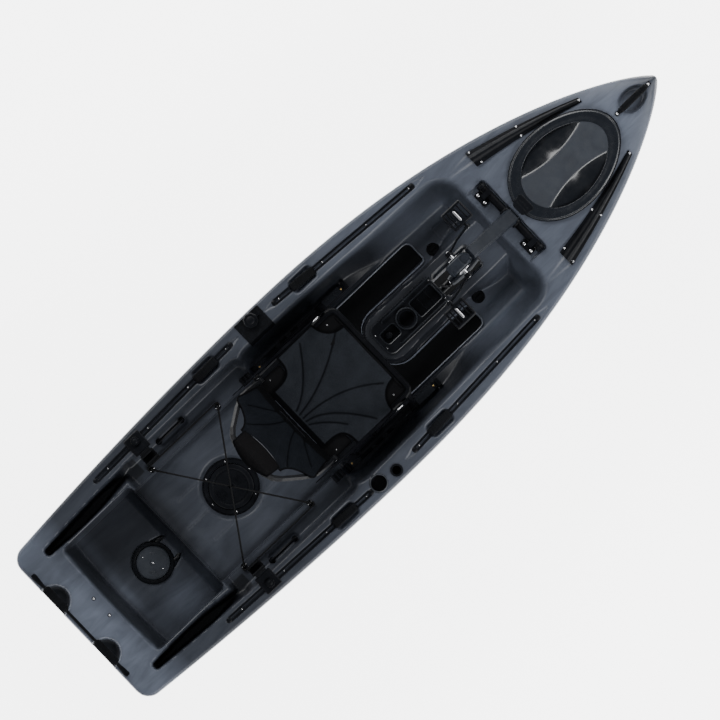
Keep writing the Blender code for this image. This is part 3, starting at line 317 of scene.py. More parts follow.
CAD_LOOKS = {
    BLACK: ["gear_track", "pad_eye", "mount_", "rod_holder", "bow_hatch_rim", "rear_hatch_ring", "console_tray",
            "propeller", "rod_tip_cover", "paddle_bracket", "seat_rail", "pivot_clamp", "pedal", "crank_",
            "side_cover"],
    RUBBER: ["side_handle", "bow_handle", "stern_handle", "scupper_plug", "paddle_clip"],
    LID: ["bow_hatch_lid", "rear_hatch_lid"],
    CAP: ["stern_cap"],
    ANODISED: ["seat_frame", "backrest_frame", "drive_crossbar"],
    CASING: ["drive_arm", "drive_housing", "drive_column", "lower_unit"],
    WEBBING: ["seat_sling", "backrest_sling", "seat_strap", "bungee_cord"],
    STEEL: ["crank_axle", "vertical_shaft", "prop_shaft"],
}


def dress(name, look):
    """Gives one CAD node a look instead of its plain colour."""
    NODES[name].data.materials.clear()
    NODES[name].data.materials.append(look)


def dress_cad():
    """Gives the CAD nodes their looks by the starts of their names."""
    for look, starts in CAD_LOOKS.items():
        for name in NODES:
            if name.startswith(tuple(starts)):
                dress(name, look)


# ---------------------------------------------------------------- hull surface


def half_beam(x):
    """Half the hull's width at its widest, at one place along it."""
    ahead = np.clip((x - X_WIDEST) / (SHARP_BOW - X_WIDEST), 0, 1)
    into_tip = np.clip((x - X_BOW + BOW_ROUND) / BOW_ROUND, 0, 1)
    astern = np.clip((X_WIDEST - x) / (X_WIDEST - X_STERN), 0, 1)
    into_corner = np.clip(STERN_CORNER - (x - X_STERN), 0, STERN_CORNER)
    corner = STERN_CORNER - np.sqrt(STERN_CORNER**2 - into_corner**2)
    ends = np.clip(1 - ahead**2.25, 0, 1) ** 0.8 * np.sqrt(1 - into_tip**2)
    return HALF_BEAM * ends * (1 - 0.1436 * astern**1.86) - corner


def sheer(x):
    """The gunwale's height."""
    return GUNWALE_Z + BOW_RISE * np.clip(x - 0.6, 0, None) ** 2 + 0.06 * np.clip(-1.15 - x, 0, None) ** 2


def keel(x):
    """The keel's height."""
    return 0.20 * np.clip((x - 0.70) / 0.9, 0, None) ** 2.4 + 0.24 * np.clip(-1.05 - x, 0, None) ** 2


def deck(x, y):
    """The deck's height before anything is sunk into it, with a crown towards the bow."""
    forward = np.clip((x - 0.80) / 0.25, 0, 1)
    across = np.clip(np.abs(y) / np.maximum(half_beam(x), 0.02), 0, 1)
    return sheer(x) + CROWN * forward * (1 - across**2)


def hatch_plane(x):
    """The height of the sloping seat that the bow hatch lies in."""
    return 0.354 + HATCH_LEAN * (x - HATCH_X0)


def height(shape, *at):
    """One of the hull's shapes at a single place, as a plain number."""
    return float(shape(*(np.array(value) for value in at)))


def step(t):
    """0 to 1, level at both ends."""
    t = np.clip(t, 0, 1)
    return t * t * (3 - 2 * t)


def slope(t, fillet=0.3):
    """0 to 1 with a straight middle and a fillet at each end."""
    t = np.clip(t, 0, 1)
    steep = 1 / (1 - fillet)
    low = steep * t * t / (2 * fillet)
    high = 1 - steep * (1 - t) ** 2 / (2 * fillet)
    return np.where(t < fillet, low, np.where(t > 1 - fillet, high, steep * (t - fillet / 2)))


def outline(x, y, corners, radius):
    """Distance outside a convex anticlockwise polygon with rounded corners; inside is negative."""
    total = np.zeros_like(x)
    most = np.full_like(x, -9.0)
    for (ax, ay), (bx, by) in zip(corners, corners[1:] + corners[:1]):
        long = math.hypot(bx - ax, by - ay)
        away = ((by - ay) * (x - ax) - (bx - ax) * (y - ay)) / long
        total += np.clip(away + radius, 0, None) ** 2
        most = np.maximum(most, away)
    return np.sqrt(total) + np.minimum(most + radius, 0) - radius


def oblong(x0, x1, y0, y1):
    """A rectangle's corners in plan."""
    return [(x0, y0), (x1, y0), (x1, y1), (x0, y1)]


def taper(x0, x1, half0, half1):
    """A symmetrical panel's corners in plan, with a half width at each end."""
    return [(x0, -half0), (x1, -half1), (x1, half1), (x0, half0)]


def line_distance(x, y, a, b):
    """Distance from a straight line between two plan points, and how far along it each place is."""
    run = np.array(b) - np.array(a)
    long = math.hypot(*run)
    share = np.clip(((x - a[0]) * run[0] + (y - a[1]) * run[1]) / long**2, 0, 1)
    return np.hypot(x - a[0] - share * run[0], y - a[1] - share * run[1]), share


def sink(z, away, run, floor, fillet=0.3):
    """Lowers a surface to a floor inside an outline, down a wall that is run wide."""
    return np.minimum(z, z + (floor - z) * slope(-away / run, fillet))


def dent(z, away, run, depth, fillet=0.45):
    """Lowers a surface by one depth inside an outline."""
    return z - depth * slope(-away / run, fillet)


def egg_share(x, y):
    """1 on the bow hatch's outline, 0 at its middle."""
    middle, long = (HATCH_X0 + HATCH_X1) / 2, (HATCH_X1 - HATCH_X0) / 2
    u = (x - middle) / long
    return np.hypot(u, y / (HATCH_HALF * (1 - 0.10 * np.clip(u, -1.3, 1.3))))


CHANNEL = [(-1.490, 0.292), (-1.30, 0.279), (-0.98, 0.293), (-0.98, 0.3645), (-1.14, 0.362), (-1.490, 0.336)]
STERN_SCOOPS = ((0.084, 0.222), (-0.206, -0.072))
CONSOLE = taper(0.030, 0.900, 0.106, 0.082)


def deck_height(x, y):
    """The upper surface of the moulding at every place in plan."""
    a = np.abs(y)
    z = deck(x, y)

    cockpit = outline(x, y, taper(-0.446, 0.744, 0.372, 0.339), 0.116)
    bowl = step((x - 0.125) / 0.22)
    z = sink(z, cockpit, 0.070 + 0.045 * bowl, LEDGE_Z + (FLOOR_Z - LEDGE_Z) * bowl, 0.32)
    z = sink(z, outline(x, y, taper(-0.374, 0.360, 0.249, 0.249), 0.03), 0.016, FLOOR_Z, 0.4)
    z = sink(z, outline(x, y, taper(-1.054, -0.371, 0.3645, 0.3665), 0.05), 0.036, SHELF_Z, 0.40)
    z = sink(z, outline(x, y, taper(-1.056, -0.356, 0.256, 0.256), 0.012), 0.006, TANK_Z, 0.4)
    rear_wall = (GUNWALE_Z - FLOOR_Z) * slope((-1.384 + 0.012 * (a / 0.28) ** 2 - x) / 0.058, 0.42)
    front_wall = (TANK_Z - FLOOR_Z) * slope((x + 1.108) / 0.054, 0.30)
    z = sink(z, outline(x, y, taper(-1.438, -1.050, 0.281, 0.281), 0.030), 0.011, FLOOR_Z + rear_wall + front_wall,
             0.3)

    for flip in (1, -1):
        channel = outline(x, flip * y, CHANNEL, 0.020)
        z = sink(z, channel, 0.022 + 0.014 * step((x + 1.2) / 0.15),
                 CHANNEL_Z + (SHELF_Z - CHANNEL_Z) * step((x + 1.28) / 0.26), 0.35)

    off = outline(x, y, CONSOLE, 0.085)
    spread = 0.016 + 0.048 * step((x - 0.42) / 0.20)
    ridge = CONSOLE_Z - (CONSOLE_Z - FLOOR_Z) * slope((off + 0.004) / spread, 0.49)
    z = np.where((x > 0.0) & (x < 0.80), np.maximum(z, ridge), z)

    z = sink(z, outline(x, y, taper(0.696, 0.8210, 0.188, 0.188), 0.014), 0.006, 0.3235, 0.4)
    z = dent(z, outline(x, y, oblong(0.815, 0.870, -0.050, 0.050), 0.004), 0.003, 0.0045)
    for flip in (1, -1):
        pad = outline(x, flip * y, oblong(0.7415, 0.797, 0.098, 0.172), 0.006)
        z = dent(z, pad, 0.004, 0.0015)

    z = sink(z, outline(x, y, oblong(0.072, 0.388, -0.065, 0.065), 0.020), 0.005, 0.196, 0.3)
    z = sink(z, outline(x, y, oblong(0.3945, 0.592, -0.060, 0.060), 0.022), 0.005, 0.12, 0.3)
    z = sink(z, outline(x, y, oblong(0.198, 0.592, -0.044, 0.044), 0.010), 0.005, 0.0, 0.3)
    return gunwale_and_deck_details(x, y, z)


def gunwale_and_deck_details(x, y, z):
    """Track recesses, hand scoops, hatch seats, ridges and grooves."""
    for name, (rear, front) in TRACKS.items():
        unit = (front - rear).normalized()
        rear_run, front_run = (0.014, 0.044) if "rear" in name else (0.054, 0.060)
        start, end = rear - unit * rear_run, front + unit * front_run
        off, share = line_distance(x, y, start, end)
        from_end = np.minimum(share, 1 - share) * (end - start).length
        wide = 0.006 + 0.0095 * step(from_end / 0.05)
        z = dent(z, off - wide, 0.006, 0.0036)

    for name, (rear, front) in TRACKS.items():
        at_x = GRIPS_X[name.split("_")[0]]
        at_y = rear.lerp(front, (at_x - rear.x) / (front.x - rear.x)).y
        scoop = outline(x, y, oblong(at_x - 0.066, at_x + 0.066, at_y - 0.040, at_y + 0.040), 0.026)
        z = sink(z, scoop, 0.024, GUNWALE_Z - 0.016, 0.4)
    for y0, y1 in STERN_SCOOPS:
        middle, half = (y0 + y1) / 2, (y1 - y0) / 2
        bite = np.hypot((x - X_STERN) / 0.083, (y - middle) / (half + 0.004)) - 1
        z = sink(z, bite * half, 0.016, 0.298, 0.4)
    scoop = np.hypot((x - 1.472) / 0.070, y / (0.052 - 0.11 * np.clip(x - 1.472, -0.1, 0.1))) - 1
    z = sink(z, scoop * 0.05, 0.018, 0.396, 0.45)

    share = egg_share(x, y)
    away = (share - 1.0) * 0.19
    z = z + 0.0035 * (step((away + 0.004) / 0.010) - step((away - 0.022) / 0.030))
    z = np.where(away < 0.0, np.minimum(z, hatch_plane(x) - 0.006), z)
    z = sink(z, (share - 0.785) * 0.19, 0.006, 0.10, 0.3)
    notch = outline(x, y, oblong(HATCH_X0 - 0.040, HATCH_X0 + 0.02, -0.034, 0.034), 0.02)
    z = sink(z, notch, 0.012, hatch_plane(HATCH_X0) - 0.010, 0.45)

    hatch = np.hypot(x - ROUND_HATCH.x, y) - 0.138
    in_tank = (z < TANK_Z + 0.002) & (x < -0.40) & (x > -1.04)
    z = np.where(in_tank, dent(z, hatch, 0.010, 0.0035), z)
    for ridge_x0, ridge_x1, ridge_y in ((-0.955, -0.850, 0.108), (-1.004, -0.898, -0.002), (-0.955, -0.850, -0.108),
                                        (-0.690, -0.600, 0.108), (-0.690, -0.600, -0.108)):
        off, _ = line_distance(x, y, (ridge_x0, ridge_y), (ridge_x1, ridge_y))
        z = np.where(in_tank, dent(z, off - 0.0100, 0.0100, 0.0018), z)
    z = np.where(np.hypot(x - ROUND_HATCH.x, y) < 0.097, TANK_Z - 0.03, z)

    ring = np.hypot(x - STERN_CAP.x, y)
    in_well = (x < -1.08) & (x > -1.34)
    z = np.where(in_well, sink(z, ring - 0.088, 0.010, FLOOR_Z - 0.004, 0.4), z)
    for flip in (1, -1):
        off, along = line_distance(x, flip * y, (STERN_CAP.x + 0.055, 0.060), (STERN_CAP.x + 0.112, 0.048))
        z = np.where(in_well | (x > -1.12), dent(z, off - 0.016 + 0.008 * along, 0.008, 0.009 * (off < 0.03)), z)
    z = np.where(ring < 0.069, np.minimum(z, FLOOR_Z - 0.006), z)

    z = np.where(np.hypot(x - CUP.x, y - CUP.y) < 0.0355, 0.25, z)
    z = np.where(np.hypot(x - ROD_HOLE.x, y - ROD_HOLE.y) < 0.0196, 0.21, z)

    for flip in (1, -1):
        lead = 0.79 * height(half_beam, 0.792) * flip
        off, share = line_distance(x, y, (0.690, lead + flip * 0.006), (0.850, lead))
        z = dent(z, off - 0.010 - 0.018 * share, 0.016, 0.006 * (0.15 + 0.85 * share) * (off < 0.04))
        loop = outline(x, flip * y, oblong(-0.862, -0.696, 0.300, 0.352), 0.022)
        z = sink(z, loop, 0.014, SHELF_Z - 0.008, 0.4)
    plate = outline(x, y, oblong(0.535, 0.600, 0.112, 0.197), 0.008)
    z = np.where(z < FLOOR_Z + 0.01, z + 0.003 * slope(-plate / 0.004, 0.45), z)
    return z


def blob(x, y, at_x, at_y, long, wide):
    """A soft spot, 1 in its middle."""
    return np.exp(-(((x - at_x) / long) ** 2 + ((y - at_y) / wide) ** 2))


def deck_tone_and_shade(x, y, z):
    """How pale the hull is, from 0, black, to 1, grey: the swirled plastic's own grey and black, with painted shade
    and painted highlights in the wells, the channels and the footwells.
    """
    rim = np.interp(x, [-1.6, -1.5, -1.36, -0.9, -0.4, 0.0, 0.3, 0.75, 1.1, 1.3, 1.42, 1.53, 1.6],
                    [0.50, 0.50, 0.12, 0.11, 0.13, 0.21, 0.26, 0.35, 0.34, 0.42, 0.52, 0.36, 0.14])
    # The sunk surfaces' tone along the hull, with painted shade: darkest on the stern well's steep rear wall and on
    # the ledges beside the seat's front half.
    well = np.interp(x, [-1.45, -1.40, -1.35, -1.30, -1.1, -1.05, -0.98, -0.7, -0.4, -0.2, 0.1, 0.3, 0.5, 0.75],
                     [0.03, 0.04, 0.18, 0.11, 0.15, 0.03, 0.15, 0.17, 0.13, 0.02, 0.03, 0.11, 0.26, 0.12])
    depth = step((deck(x, y) - z - 0.004) / 0.035)
    tone = rim + (well - rim) * depth
    # A paler patch on the starboard side of the stern well's floor, and a painted highlight as a pale streak along
    # the foot of the well's rear wall.
    tone += depth * (0.38 * blob(x, y, -1.20, -0.19, 0.13, 0.09) + 0.16 * blob(x, y, -1.365, -0.02, 0.018, 0.13))
    tone -= 0.10 * depth * blob(x, np.abs(y), 0.24, 0.29, 0.10, 0.05)
    # Painted light on the footwells' floors: paler towards the front, most on the starboard side, with a painted
    # highlight in the port well's front corner.
    tone += depth * (0.32 * blob(x, y, 0.50, -0.22, 0.17, 0.09) + 0.10 * blob(x, y, 0.56, 0.24, 0.14, 0.05))
    tone += 0.20 * depth * blob(x, y, 0.63, 0.215, 0.05, 0.04)
    tone += 0.12 * (1 - depth) * blob(x, y, -0.45, -0.44, 0.30, 0.05)
    tone -= 0.20 * (1 - depth) * blob(x, y, -1.53, 0.26, 0.12, 0.12) + 0.08 * (1 - depth) * blob(x, y, -1.53, -0.32,
                                                                                                 0.10, 0.08)
    tone -= 0.06 * depth * (blob(x, y, -1.25, 0.16, 0.16, 0.12) + blob(x, y, -0.98, 0.10, 0.12, 0.14))
    console = (np.abs(y) < 0.13) & (x > 0.0) & (z > FLOOR_Z + 0.004)
    tone = np.where(console, tone * (1 - 0.84 * step((0.68 - x) / 0.22)), tone)
    # The rod channels darker still, partly the swirl's black and partly painted shade down in the deep grooves.
    channel_black_and_shade = (z < GUNWALE_Z - 0.022) & (np.abs(y) > 0.284) & (x < -0.97)
    return np.clip(tone - 0.5 * channel_black_and_shade, 0.02, 1.0)


def bottom_half(x):
    """Half of the outer section below the gunwale's edge at one station, from the edge to the keel."""
    b = height(half_beam, x)
    top, low = height(sheer, x), height(keel, x)
    tall = top - low
    edge = min(0.020, 0.35 * b)
    points = [(b, top - EDGE_ROUND), (b, top - 0.030 - edge / 2)]
    points += [(b * (1 - 0.025 * k / 5), top - 0.040 - (0.58 * tall - 0.040) * k / 5) for k in range(1, 5)]
    for k in range(12, -1, -1):
        angle = math.radians(7.5 * k)
        points.append((0.40 * b + 0.575 * b * math.sin(angle), low + 0.42 * tall * (1 - math.cos(angle))))
    slot = min(0.044, 0.35 * b)
    return points + [(0.30 * b, low), (slot, low), (0.0, low)]


PITCH = 0.004
LANE = 0.345  # the deck's grid keeps its straight lines this far out, and squeezes beyond it


def hull_surface():
    """The hull's whole skin: a grid over the deck closed by a section below at each station."""
    stations = np.linspace(X_STERN, X_BOW - 0.0006, round((X_BOW - X_STERN) / PITCH) + 1)
    count = 2 * round(HALF_BEAM / PITCH) + 1
    across = np.linspace(-1, 1, count) * HALF_BEAM
    b = half_beam(stations)[:, None]
    held = np.minimum(LANE, 0.92 * b)
    outer = held + (np.abs(across) - LANE) / (HALF_BEAM - LANE) * (b - held)
    inner = np.abs(across) / LANE * held
    y = np.sign(across) * np.where(np.abs(across) > LANE, outer, inner)
    x = np.repeat(stations[:, None], count, 1)
    z = deck_height(x, y)
    turn = np.hypot(1, np.gradient(b[:, 0], stations))[:, None]
    edge = np.minimum((b - np.abs(y)) / turn, x - X_STERN)
    edge = np.clip(edge, 0, EDGE_ROUND)
    rounded = deck(x, y) - EDGE_ROUND + np.sqrt(EDGE_ROUND**2 - (EDGE_ROUND - edge) ** 2)
    z = np.minimum(z, rounded)
    tone = deck_tone_and_shade(x, y, z)

    below = []
    for at in stations:
        half = bottom_half(at)
        ring = half[1:] + [(-py, pz) for py, pz in half[-2:0:-1]]
        below.append([(at, -py, pz) for py, pz in ring])
    below = np.array(below)
    rows = np.concatenate([np.stack([x, y, z], -1), below[:, ::-1]], 1)
    rows[0, :, 2] = 0.5 * (rows[0, :, 2] + np.clip(rows[0, :, 2], keel(X_STERN) + 0.006, None))
    ring = rows.shape[1]
    verts = rows.reshape(-1, 3)
    i, j = np.meshgrid(np.arange(len(stations) - 1), np.arange(ring), indexing="ij")
    k = (j + 1) % ring
    faces = np.stack([i * ring + j, (i + 1) * ring + j, (i + 1) * ring + k, i * ring + k], -1).reshape(-1, 4)
    middle = verts[faces].mean(1)
    in_slot = (np.abs(middle[:, 1]) < 0.0425) & (middle[:, 0] > 0.200) & (middle[:, 0] < 0.590)
    faces = faces[~(in_slot & (middle[:, 2] < 0.02))]
    mesh = bpy.data.meshes.new("hull_skin")
    caps = [list(range(ring)), list(range((len(stations) - 1) * ring, len(stations) * ring))[::-1]]
    mesh.from_pydata(verts.tolist(), [], faces.tolist() + caps)
    low_tone = np.full((len(stations), ring - count), 0.24)
    values = np.concatenate([tone, low_tone], 1).reshape(-1)
    mesh.attributes.new("tone", "FLOAT", "POINT").data.foreach_set("value", values)
    return mesh


def link(mesh, look, body, angle=40):
    """An object from a mesh, riding on a body."""
    mesh.materials.append(look)
    mesh.shade_smooth()
    mesh.set_sharp_from_angle(angle=math.radians(angle))
    made = bpy.data.objects.new(mesh.name, mesh)
    bpy.context.scene.collection.objects.link(made)
    if body:
        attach(made, body)
    return made


def add_hull():
    """The moulding, in place of the CAD hull."""
    made = link(hull_surface(), HULL, "hull", 50)
    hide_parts("hull")


# ---------------------------------------------------------------- shapes for the fittings

TURN = {"X": Matrix.Rotation(math.pi / 2, 4, "Y"), "Y": Matrix.Rotation(-math.pi / 2, 4, "X"),
        "Z": Matrix.Identity(4)}


class Form:
    """One piece, gathered from closed shapes."""

    def __init__(self):
        self.bm = bmesh.new()

    def skin(self, rings, closed=False, hoop=False):
        """Faces between rings of equally many points; a hoop joins its last ring to its first."""
        rows = [[self.bm.verts.new(p) for p in ring] for ring in rings]
        count = len(rows[0])
        for here, there in zip(rows, rows[1:] + rows[:1] if hoop else rows[1:]):
            for i in range(count if closed else count - 1):
                j = (i + 1) % count
                self.bm.faces.new((here[i], here[j], there[j], there[i]))
        if closed and not hoop:
            self.bm.faces.new(rows[0])
            self.bm.faces.new(rows[-1])
        return self

    def turned(self, profile, at, axis="Z", steps=24, place=None):
        """A (radius, height) outline spun round an axis; a closed outline if neither end is on the axis."""
        place = place or Matrix.Translation(Vector(at)) @ TURN[axis]
        spokes = []
        for k in range(steps):
            a = 2 * math.pi * k / steps
            spokes.append([place @ Vector((r * math.cos(a), r * math.sin(a), z)) for r, z in profile])
        rows = [[self.bm.verts.new(p) for p in spoke] for spoke in spokes]
        points = len(profile)
        on_axis = profile[0][0] == 0 and profile[-1][0] == 0
        for here, there in zip(rows, rows[1:] + rows[:1]):
            for i in range(points - 1 if on_axis else points):
                j = (i + 1) % points
                self.bm.faces.new((here[i], here[j], there[j], there[i]))
        bmesh.ops.remove_doubles(self.bm, verts=[v for row in rows for v in row], dist=1e-6)
        return self

    def tube(self, points, radius, sides=8, closed=False):
        """A rod along points, of one radius or one for each point."""
        points = [Vector(p) for p in points]
        count = len(points)
        rings, side = [], None
        for i, here in enumerate(points):
            back = points[i - 1] if closed or i else here
            ahead = points[(i + 1) % count] if closed or i < count - 1 else here
            run = (ahead - back).normalized()
            if side is None:
                side = run.orthogonal().normalized()
            side = (side - run * side.dot(run)).normalized()
            up = run.cross(side)
            r = radius[i] if isinstance(radius, (list, tuple)) else radius
            rings.append([here + r * (side * math.cos(a) + up * math.sin(a))
                          for a in (2 * math.pi * k / sides for k in range(sides))])
        return self.skin(rings, closed=True, hoop=closed)

    def slab(self, corners, low, high, edge=0.001, place=None):
        """A plate with softened upper and lower edges over a convex anticlockwise outline."""
        place = place or Matrix.Identity(4)
        small = inset(corners, edge)
        rings = [(small, low), (corners, low + edge), (corners, high - edge), (small, high)]
        return self.skin([[place @ Vector((x, y, z)) for x, y in ring] for ring, z in rings], closed=True)

    def block(self, low, high, edge=0.001, place=None):
        """A box between two corners."""
        return self.slab(oblong(low[0], high[0], low[1], high[1]), low[2], high[2], edge, place)

    def screw(self, at, radius=0.0042, normal=(0, 0, 1), tall=0.0022):
        """A domed head with a hexagonal socket."""
        place = Matrix.Translation(Vector(at)) @ Vector(normal).to_track_quat("Z", "Y").to_matrix().to_4x4()
        r = radius
        self.turned([(0, tall * 0.4), (0.40 * r, tall * 0.4), (0.46 * r, tall), (0.75 * r, 0.85 * tall),
                     (r, 0.3 * tall), (r, -0.001), (0, -0.001)], None, steps=12, place=place)
        return self

    def piece(self, name, look, body, slot=None, angle=35):
        """Ends the form as one object on a body, with the look as its material; the slot argument is not used."""
        bmesh.ops.recalc_face_normals(self.bm, faces=self.bm.faces)
        mesh = bpy.data.meshes.new(name)
        self.bm.to_mesh(mesh)
        self.bm.free()
        return link(mesh, look, body, angle)


def inset(corners, distance):
    """Moves every edge of a convex anticlockwise polygon inwards."""
    moved = []
    count = len(corners)
    for i in range(count):
        before, here, after = (Vector(corners[(i + k) % count]) for k in (-1, 0, 1))
        along_in, along_out = (here - before).normalized(), (after - here).normalized()
        normal_in, normal_out = Vector((-along_in.y, along_in.x)), Vector((-along_out.y, along_out.x))
        moved.append(here + (normal_in + normal_out) * distance / (1 + normal_in.dot(normal_out)))
    return moved


def rounded(corners, radius, steps=6):
    """A polygon's outline with each corner turned into an arc."""
    path = []
    count = len(corners)
    for i in range(count):
        before, here, after = (Vector(corners[(i + k) % count]) for k in (-1, 0, 1))
        back, ahead = (before - here).normalized(), (after - here).normalized()
        half = math.acos(max(-1.0, min(1.0, back.dot(ahead)))) / 2
        reach = radius / math.tan(half)
        centre = here + (back + ahead).normalized() * radius / math.sin(half)
        start, end = here + back * reach - centre, here + ahead * reach - centre
        turn = start.angle_signed(end)
        for k in range(steps + 1):
            a = -turn * k / steps
            c, s = math.cos(a), math.sin(a)
            path.append(centre + Vector((start.x * c - start.y * s, start.x * s + start.y * c)))
    return path


def circle(x, y, z, radius, steps=40, start=0.0, turn=2 * math.pi):
    """Points along a level arc."""
    return [(x + radius * math.cos(start + turn * k / steps), y + radius * math.sin(start + turn * k / steps), z)
            for k in range(steps)]


# ---------------------------------------------------------------- seat fabric


def cloth_mesh(name, bounds, pitch, inside, lift, thick, marks):
    """A stretched fabric panel: a grid cut to the contour inside() = 0, lifted into shape, with two faces.

    marks are point attributes, each a function of the panel's own two coordinates.
    """
    (u0, u1), (v0, v1) = bounds
    us = np.arange(u0 - pitch, u1 + 2 * pitch, pitch)
    vs = np.arange(v0 - pitch, v1 + 2 * pitch, pitch)
    u, v = np.meshgrid(us, vs, indexing="ij")
    keep = inside(u[:-1, :-1] + pitch / 2, v[:-1, :-1] + pitch / 2) < 0
    used = np.zeros(u.shape, bool)
    full = np.zeros(u.shape, int)
    for du in (0, 1):
        for dv in (0, 1):
            used[du:used.shape[0] - 1 + du, dv:used.shape[1] - 1 + dv] |= keep
            full[du:used.shape[0] - 1 + du, dv:used.shape[1] - 1 + dv] += keep
    edge = used & (full < 4)
    for _ in range(3):
        here = inside(u, v)
        gu = (inside(u + 1e-4, v) - here) / 1e-4
        gv = (inside(u, v + 1e-4) - here) / 1e-4
        size = np.maximum(gu * gu + gv * gv, 1e-6)
        u = np.where(edge, u - np.clip(here * gu / size, -pitch, pitch), u)
        v = np.where(edge, v - np.clip(here * gv / size, -pitch, pitch), v)
    index = np.full(u.shape, -1)
    index[used] = np.arange(used.sum())
    a, b = index[:-1, :-1][keep], index[1:, :-1][keep]
    c, d = index[1:, 1:][keep], index[:-1, 1:][keep]
    flat_u, flat_v = u[used], v[used]
    mesh = bpy.data.meshes.new(name)
    mesh.from_pydata(lift(flat_u, flat_v).tolist(), [], np.stack([a, b, c, d], 1).tolist())
    for mark, value in marks.items():
        mesh.attributes.new(mark, "FLOAT", "POINT").data.foreach_set("value", value(flat_u, flat_v))
    holder = bpy.data.objects.new(name, mesh)
    bpy.context.scene.collection.objects.link(holder)
    back = holder.modifiers.new("back", "SOLIDIFY")
    back.thickness = thick
    back.offset = -1.0
    made = bpy.data.meshes.new_from_object(holder.evaluated_get(bpy.context.evaluated_depsgraph_get()))
    bpy.data.objects.remove(holder)
    made.name = name
    return made


def near_curves(u, v, curves, samples=40):
    """Distance from the nearest of some curves; each is three control points of a bend."""
    best = np.full(u.shape, 9.0)
    for a, b, c in curves:
        points = [(a[0] * (1 - t) ** 2 + 2 * b[0] * t * (1 - t) + c[0] * t * t,
                   a[1] * (1 - t) ** 2 + 2 * b[1] * t * (1 - t) + c[1] * t * t) for t in np.linspace(0, 1, samples)]
        for start, end in zip(points, points[1:]):
            off, _ = line_distance(u, v, start, end)
            best = np.minimum(best, off)
    return best


def bite(u, v, at_u, at_v, wide, deep, power):
    """Negative inside a rounded notch round a corner."""
    share = (np.abs((u - at_u) / wide) ** power + np.abs((v - at_v) / deep) ** power) ** (1 / power)
    return (share - 1) * min(wide, deep)


def fabric_material(name, dark, light, scale):
    """A woven mesh with darker stitched seams and a black binding along its edges, from the seam and edge attributes;
    the edge attribute also paints the shade in the gap between the seat and back panels black.
    """
    m = Nodes(name, 0.95, specular=0.02)
    seam = m.add("ShaderNodeAttribute", output="Fac", attribute_name="seam")
    edge = m.add("ShaderNodeAttribute", output="Fac", attribute_name="edge")
    weave = m.maths("MULTIPLY", m.wave(scale, m.place(), "X"), m.wave(scale, m.place(), "Y"))
    cloud = m.noise(14.0, 4.0, 0.6)
    thread = m.noise(260.0, 3.0, 0.7)
    level = m.maths("ADD", m.ramp(weave, 0.0, 0.8, 0.0, 0.5), m.ramp(cloud, 0.3, 0.7, 0.0, 0.3))
    level = m.maths("ADD", level, m.ramp(thread, 0.3, 0.7, -0.05, 0.25))
    cloth = m.mix(level, dark, light)
    stitched = m.mix(m.ramp(seam, 0.0015, 0.0060, 0.85, 0.0), cloth, tuple(c * 0.25 for c in dark))
    # Black binding at the edges, and painted shade where the seat and back panels meet.
    bound_edge_and_gap_shade = m.mix(m.ramp(edge, 0.006, 0.0085, 1.0, 0.0), stitched, (0.0014, 0.0015, 0.0018))
    m.to(bound_edge_and_gap_shade, "Base Color")
    m.bump(weave, 0.5, 0.0006, m.bump(thread, 0.25, 0.0005))
    return m.material


SEAT_Z = 0.420
SEAT_HALF = 0.226
SEAT_X0, SEAT_X1 = -0.375, 0.0276
TUBE_R = 0.0125
BACK_PIVOT = Vector((-0.385, 0.0, 0.462))
RECLINE = math.radians(34)
UP_BACK = Vector((-math.sin(RECLINE), 0, math.cos(RECLINE)))
OUT_BACK = Vector((math.cos(RECLINE), 0, math.sin(RECLINE)))


def seat_outline(x, y):
    """The seat panel from above: a sheet with a notch at each corner; inside is negative."""
    sheet = outline(x, y, taper(-0.392, 0.0135, 0.2385, 0.2385), 0.012)
    bites = [bite(x, y, 0.014, s * 0.240, 0.092, 0.094, 2.2) for s in (1, -1)]
    bites += [bite(x, y, -0.372, s * 0.240, 0.098, 0.090, 3.4) for s in (1, -1)]
    for one in bites:
        sheet = np.maximum(sheet, -one)
    return sheet


SEAT_SEAMS = [((-0.362, 0.030), (-0.27, 0.060), (-0.165, 0.215)), ((-0.362, 0.010), (-0.20, 0.030), (-0.030, 0.150)),
              ((-0.362, -0.010), (-0.17, -0.010), (-0.035, -0.130)),
              ((-0.362, -0.028), (-0.26, -0.040), (-0.150, -0.215)),
              ((-0.362, -0.045), (-0.30, -0.080), (-0.250, -0.150))]


def seat_lift(x, y):
    """The seat panel: over the side rails at its edges, sagging between them, hitched in along its seams."""
    frame_z = SEAT_Z - 0.02 * (SEAT_X1 - x) / (SEAT_X1 - SEAT_X0)
    over = np.clip(np.abs(y) - SEAT_HALF, 0, 0.0150)
    rail = np.sqrt(np.clip(0.0155**2 - over**2, 0, None))
    inward = np.clip(1 - (np.abs(y) / SEAT_HALF) ** 2, 0, 1)
    lengthwise = 0.55 + 0.45 * np.sin(np.pi * np.clip((x + 0.372) / 0.386, 0, 1))
    sag = 0.022 * inward * lengthwise
    seams = near_curves(x, y, SEAT_SEAMS)
    hitch = 0.0032 * np.exp(-((seams / 0.006) ** 2)) - 0.0026 * np.exp(-(((seams - 0.020) / 0.016) ** 2))
    roll = 0.006 * np.clip(1 - (0.0135 - x) / 0.010, 0, 1) ** 2
    z = frame_z + rail - sag - hitch * (0.3 + 0.7 * inward) - roll
    return np.stack([x, y, z], 1)


def back_outline(u, v):
    """The back panel seen square on, u up it and v across; inside is negative."""
    sheet = outline(v, u, [(-0.200, 0.030), (0.200, 0.030), (0.2235, 0.215), (0.150, 0.345), (-0.150, 0.345),
                           (-0.2235, 0.215)], 0.012)
    for s in (1, -1):
        sheet = np.maximum(sheet, -bite(u, v, 0.345, s * 0.215, 0.108, 0.100, 2.0))
    return sheet


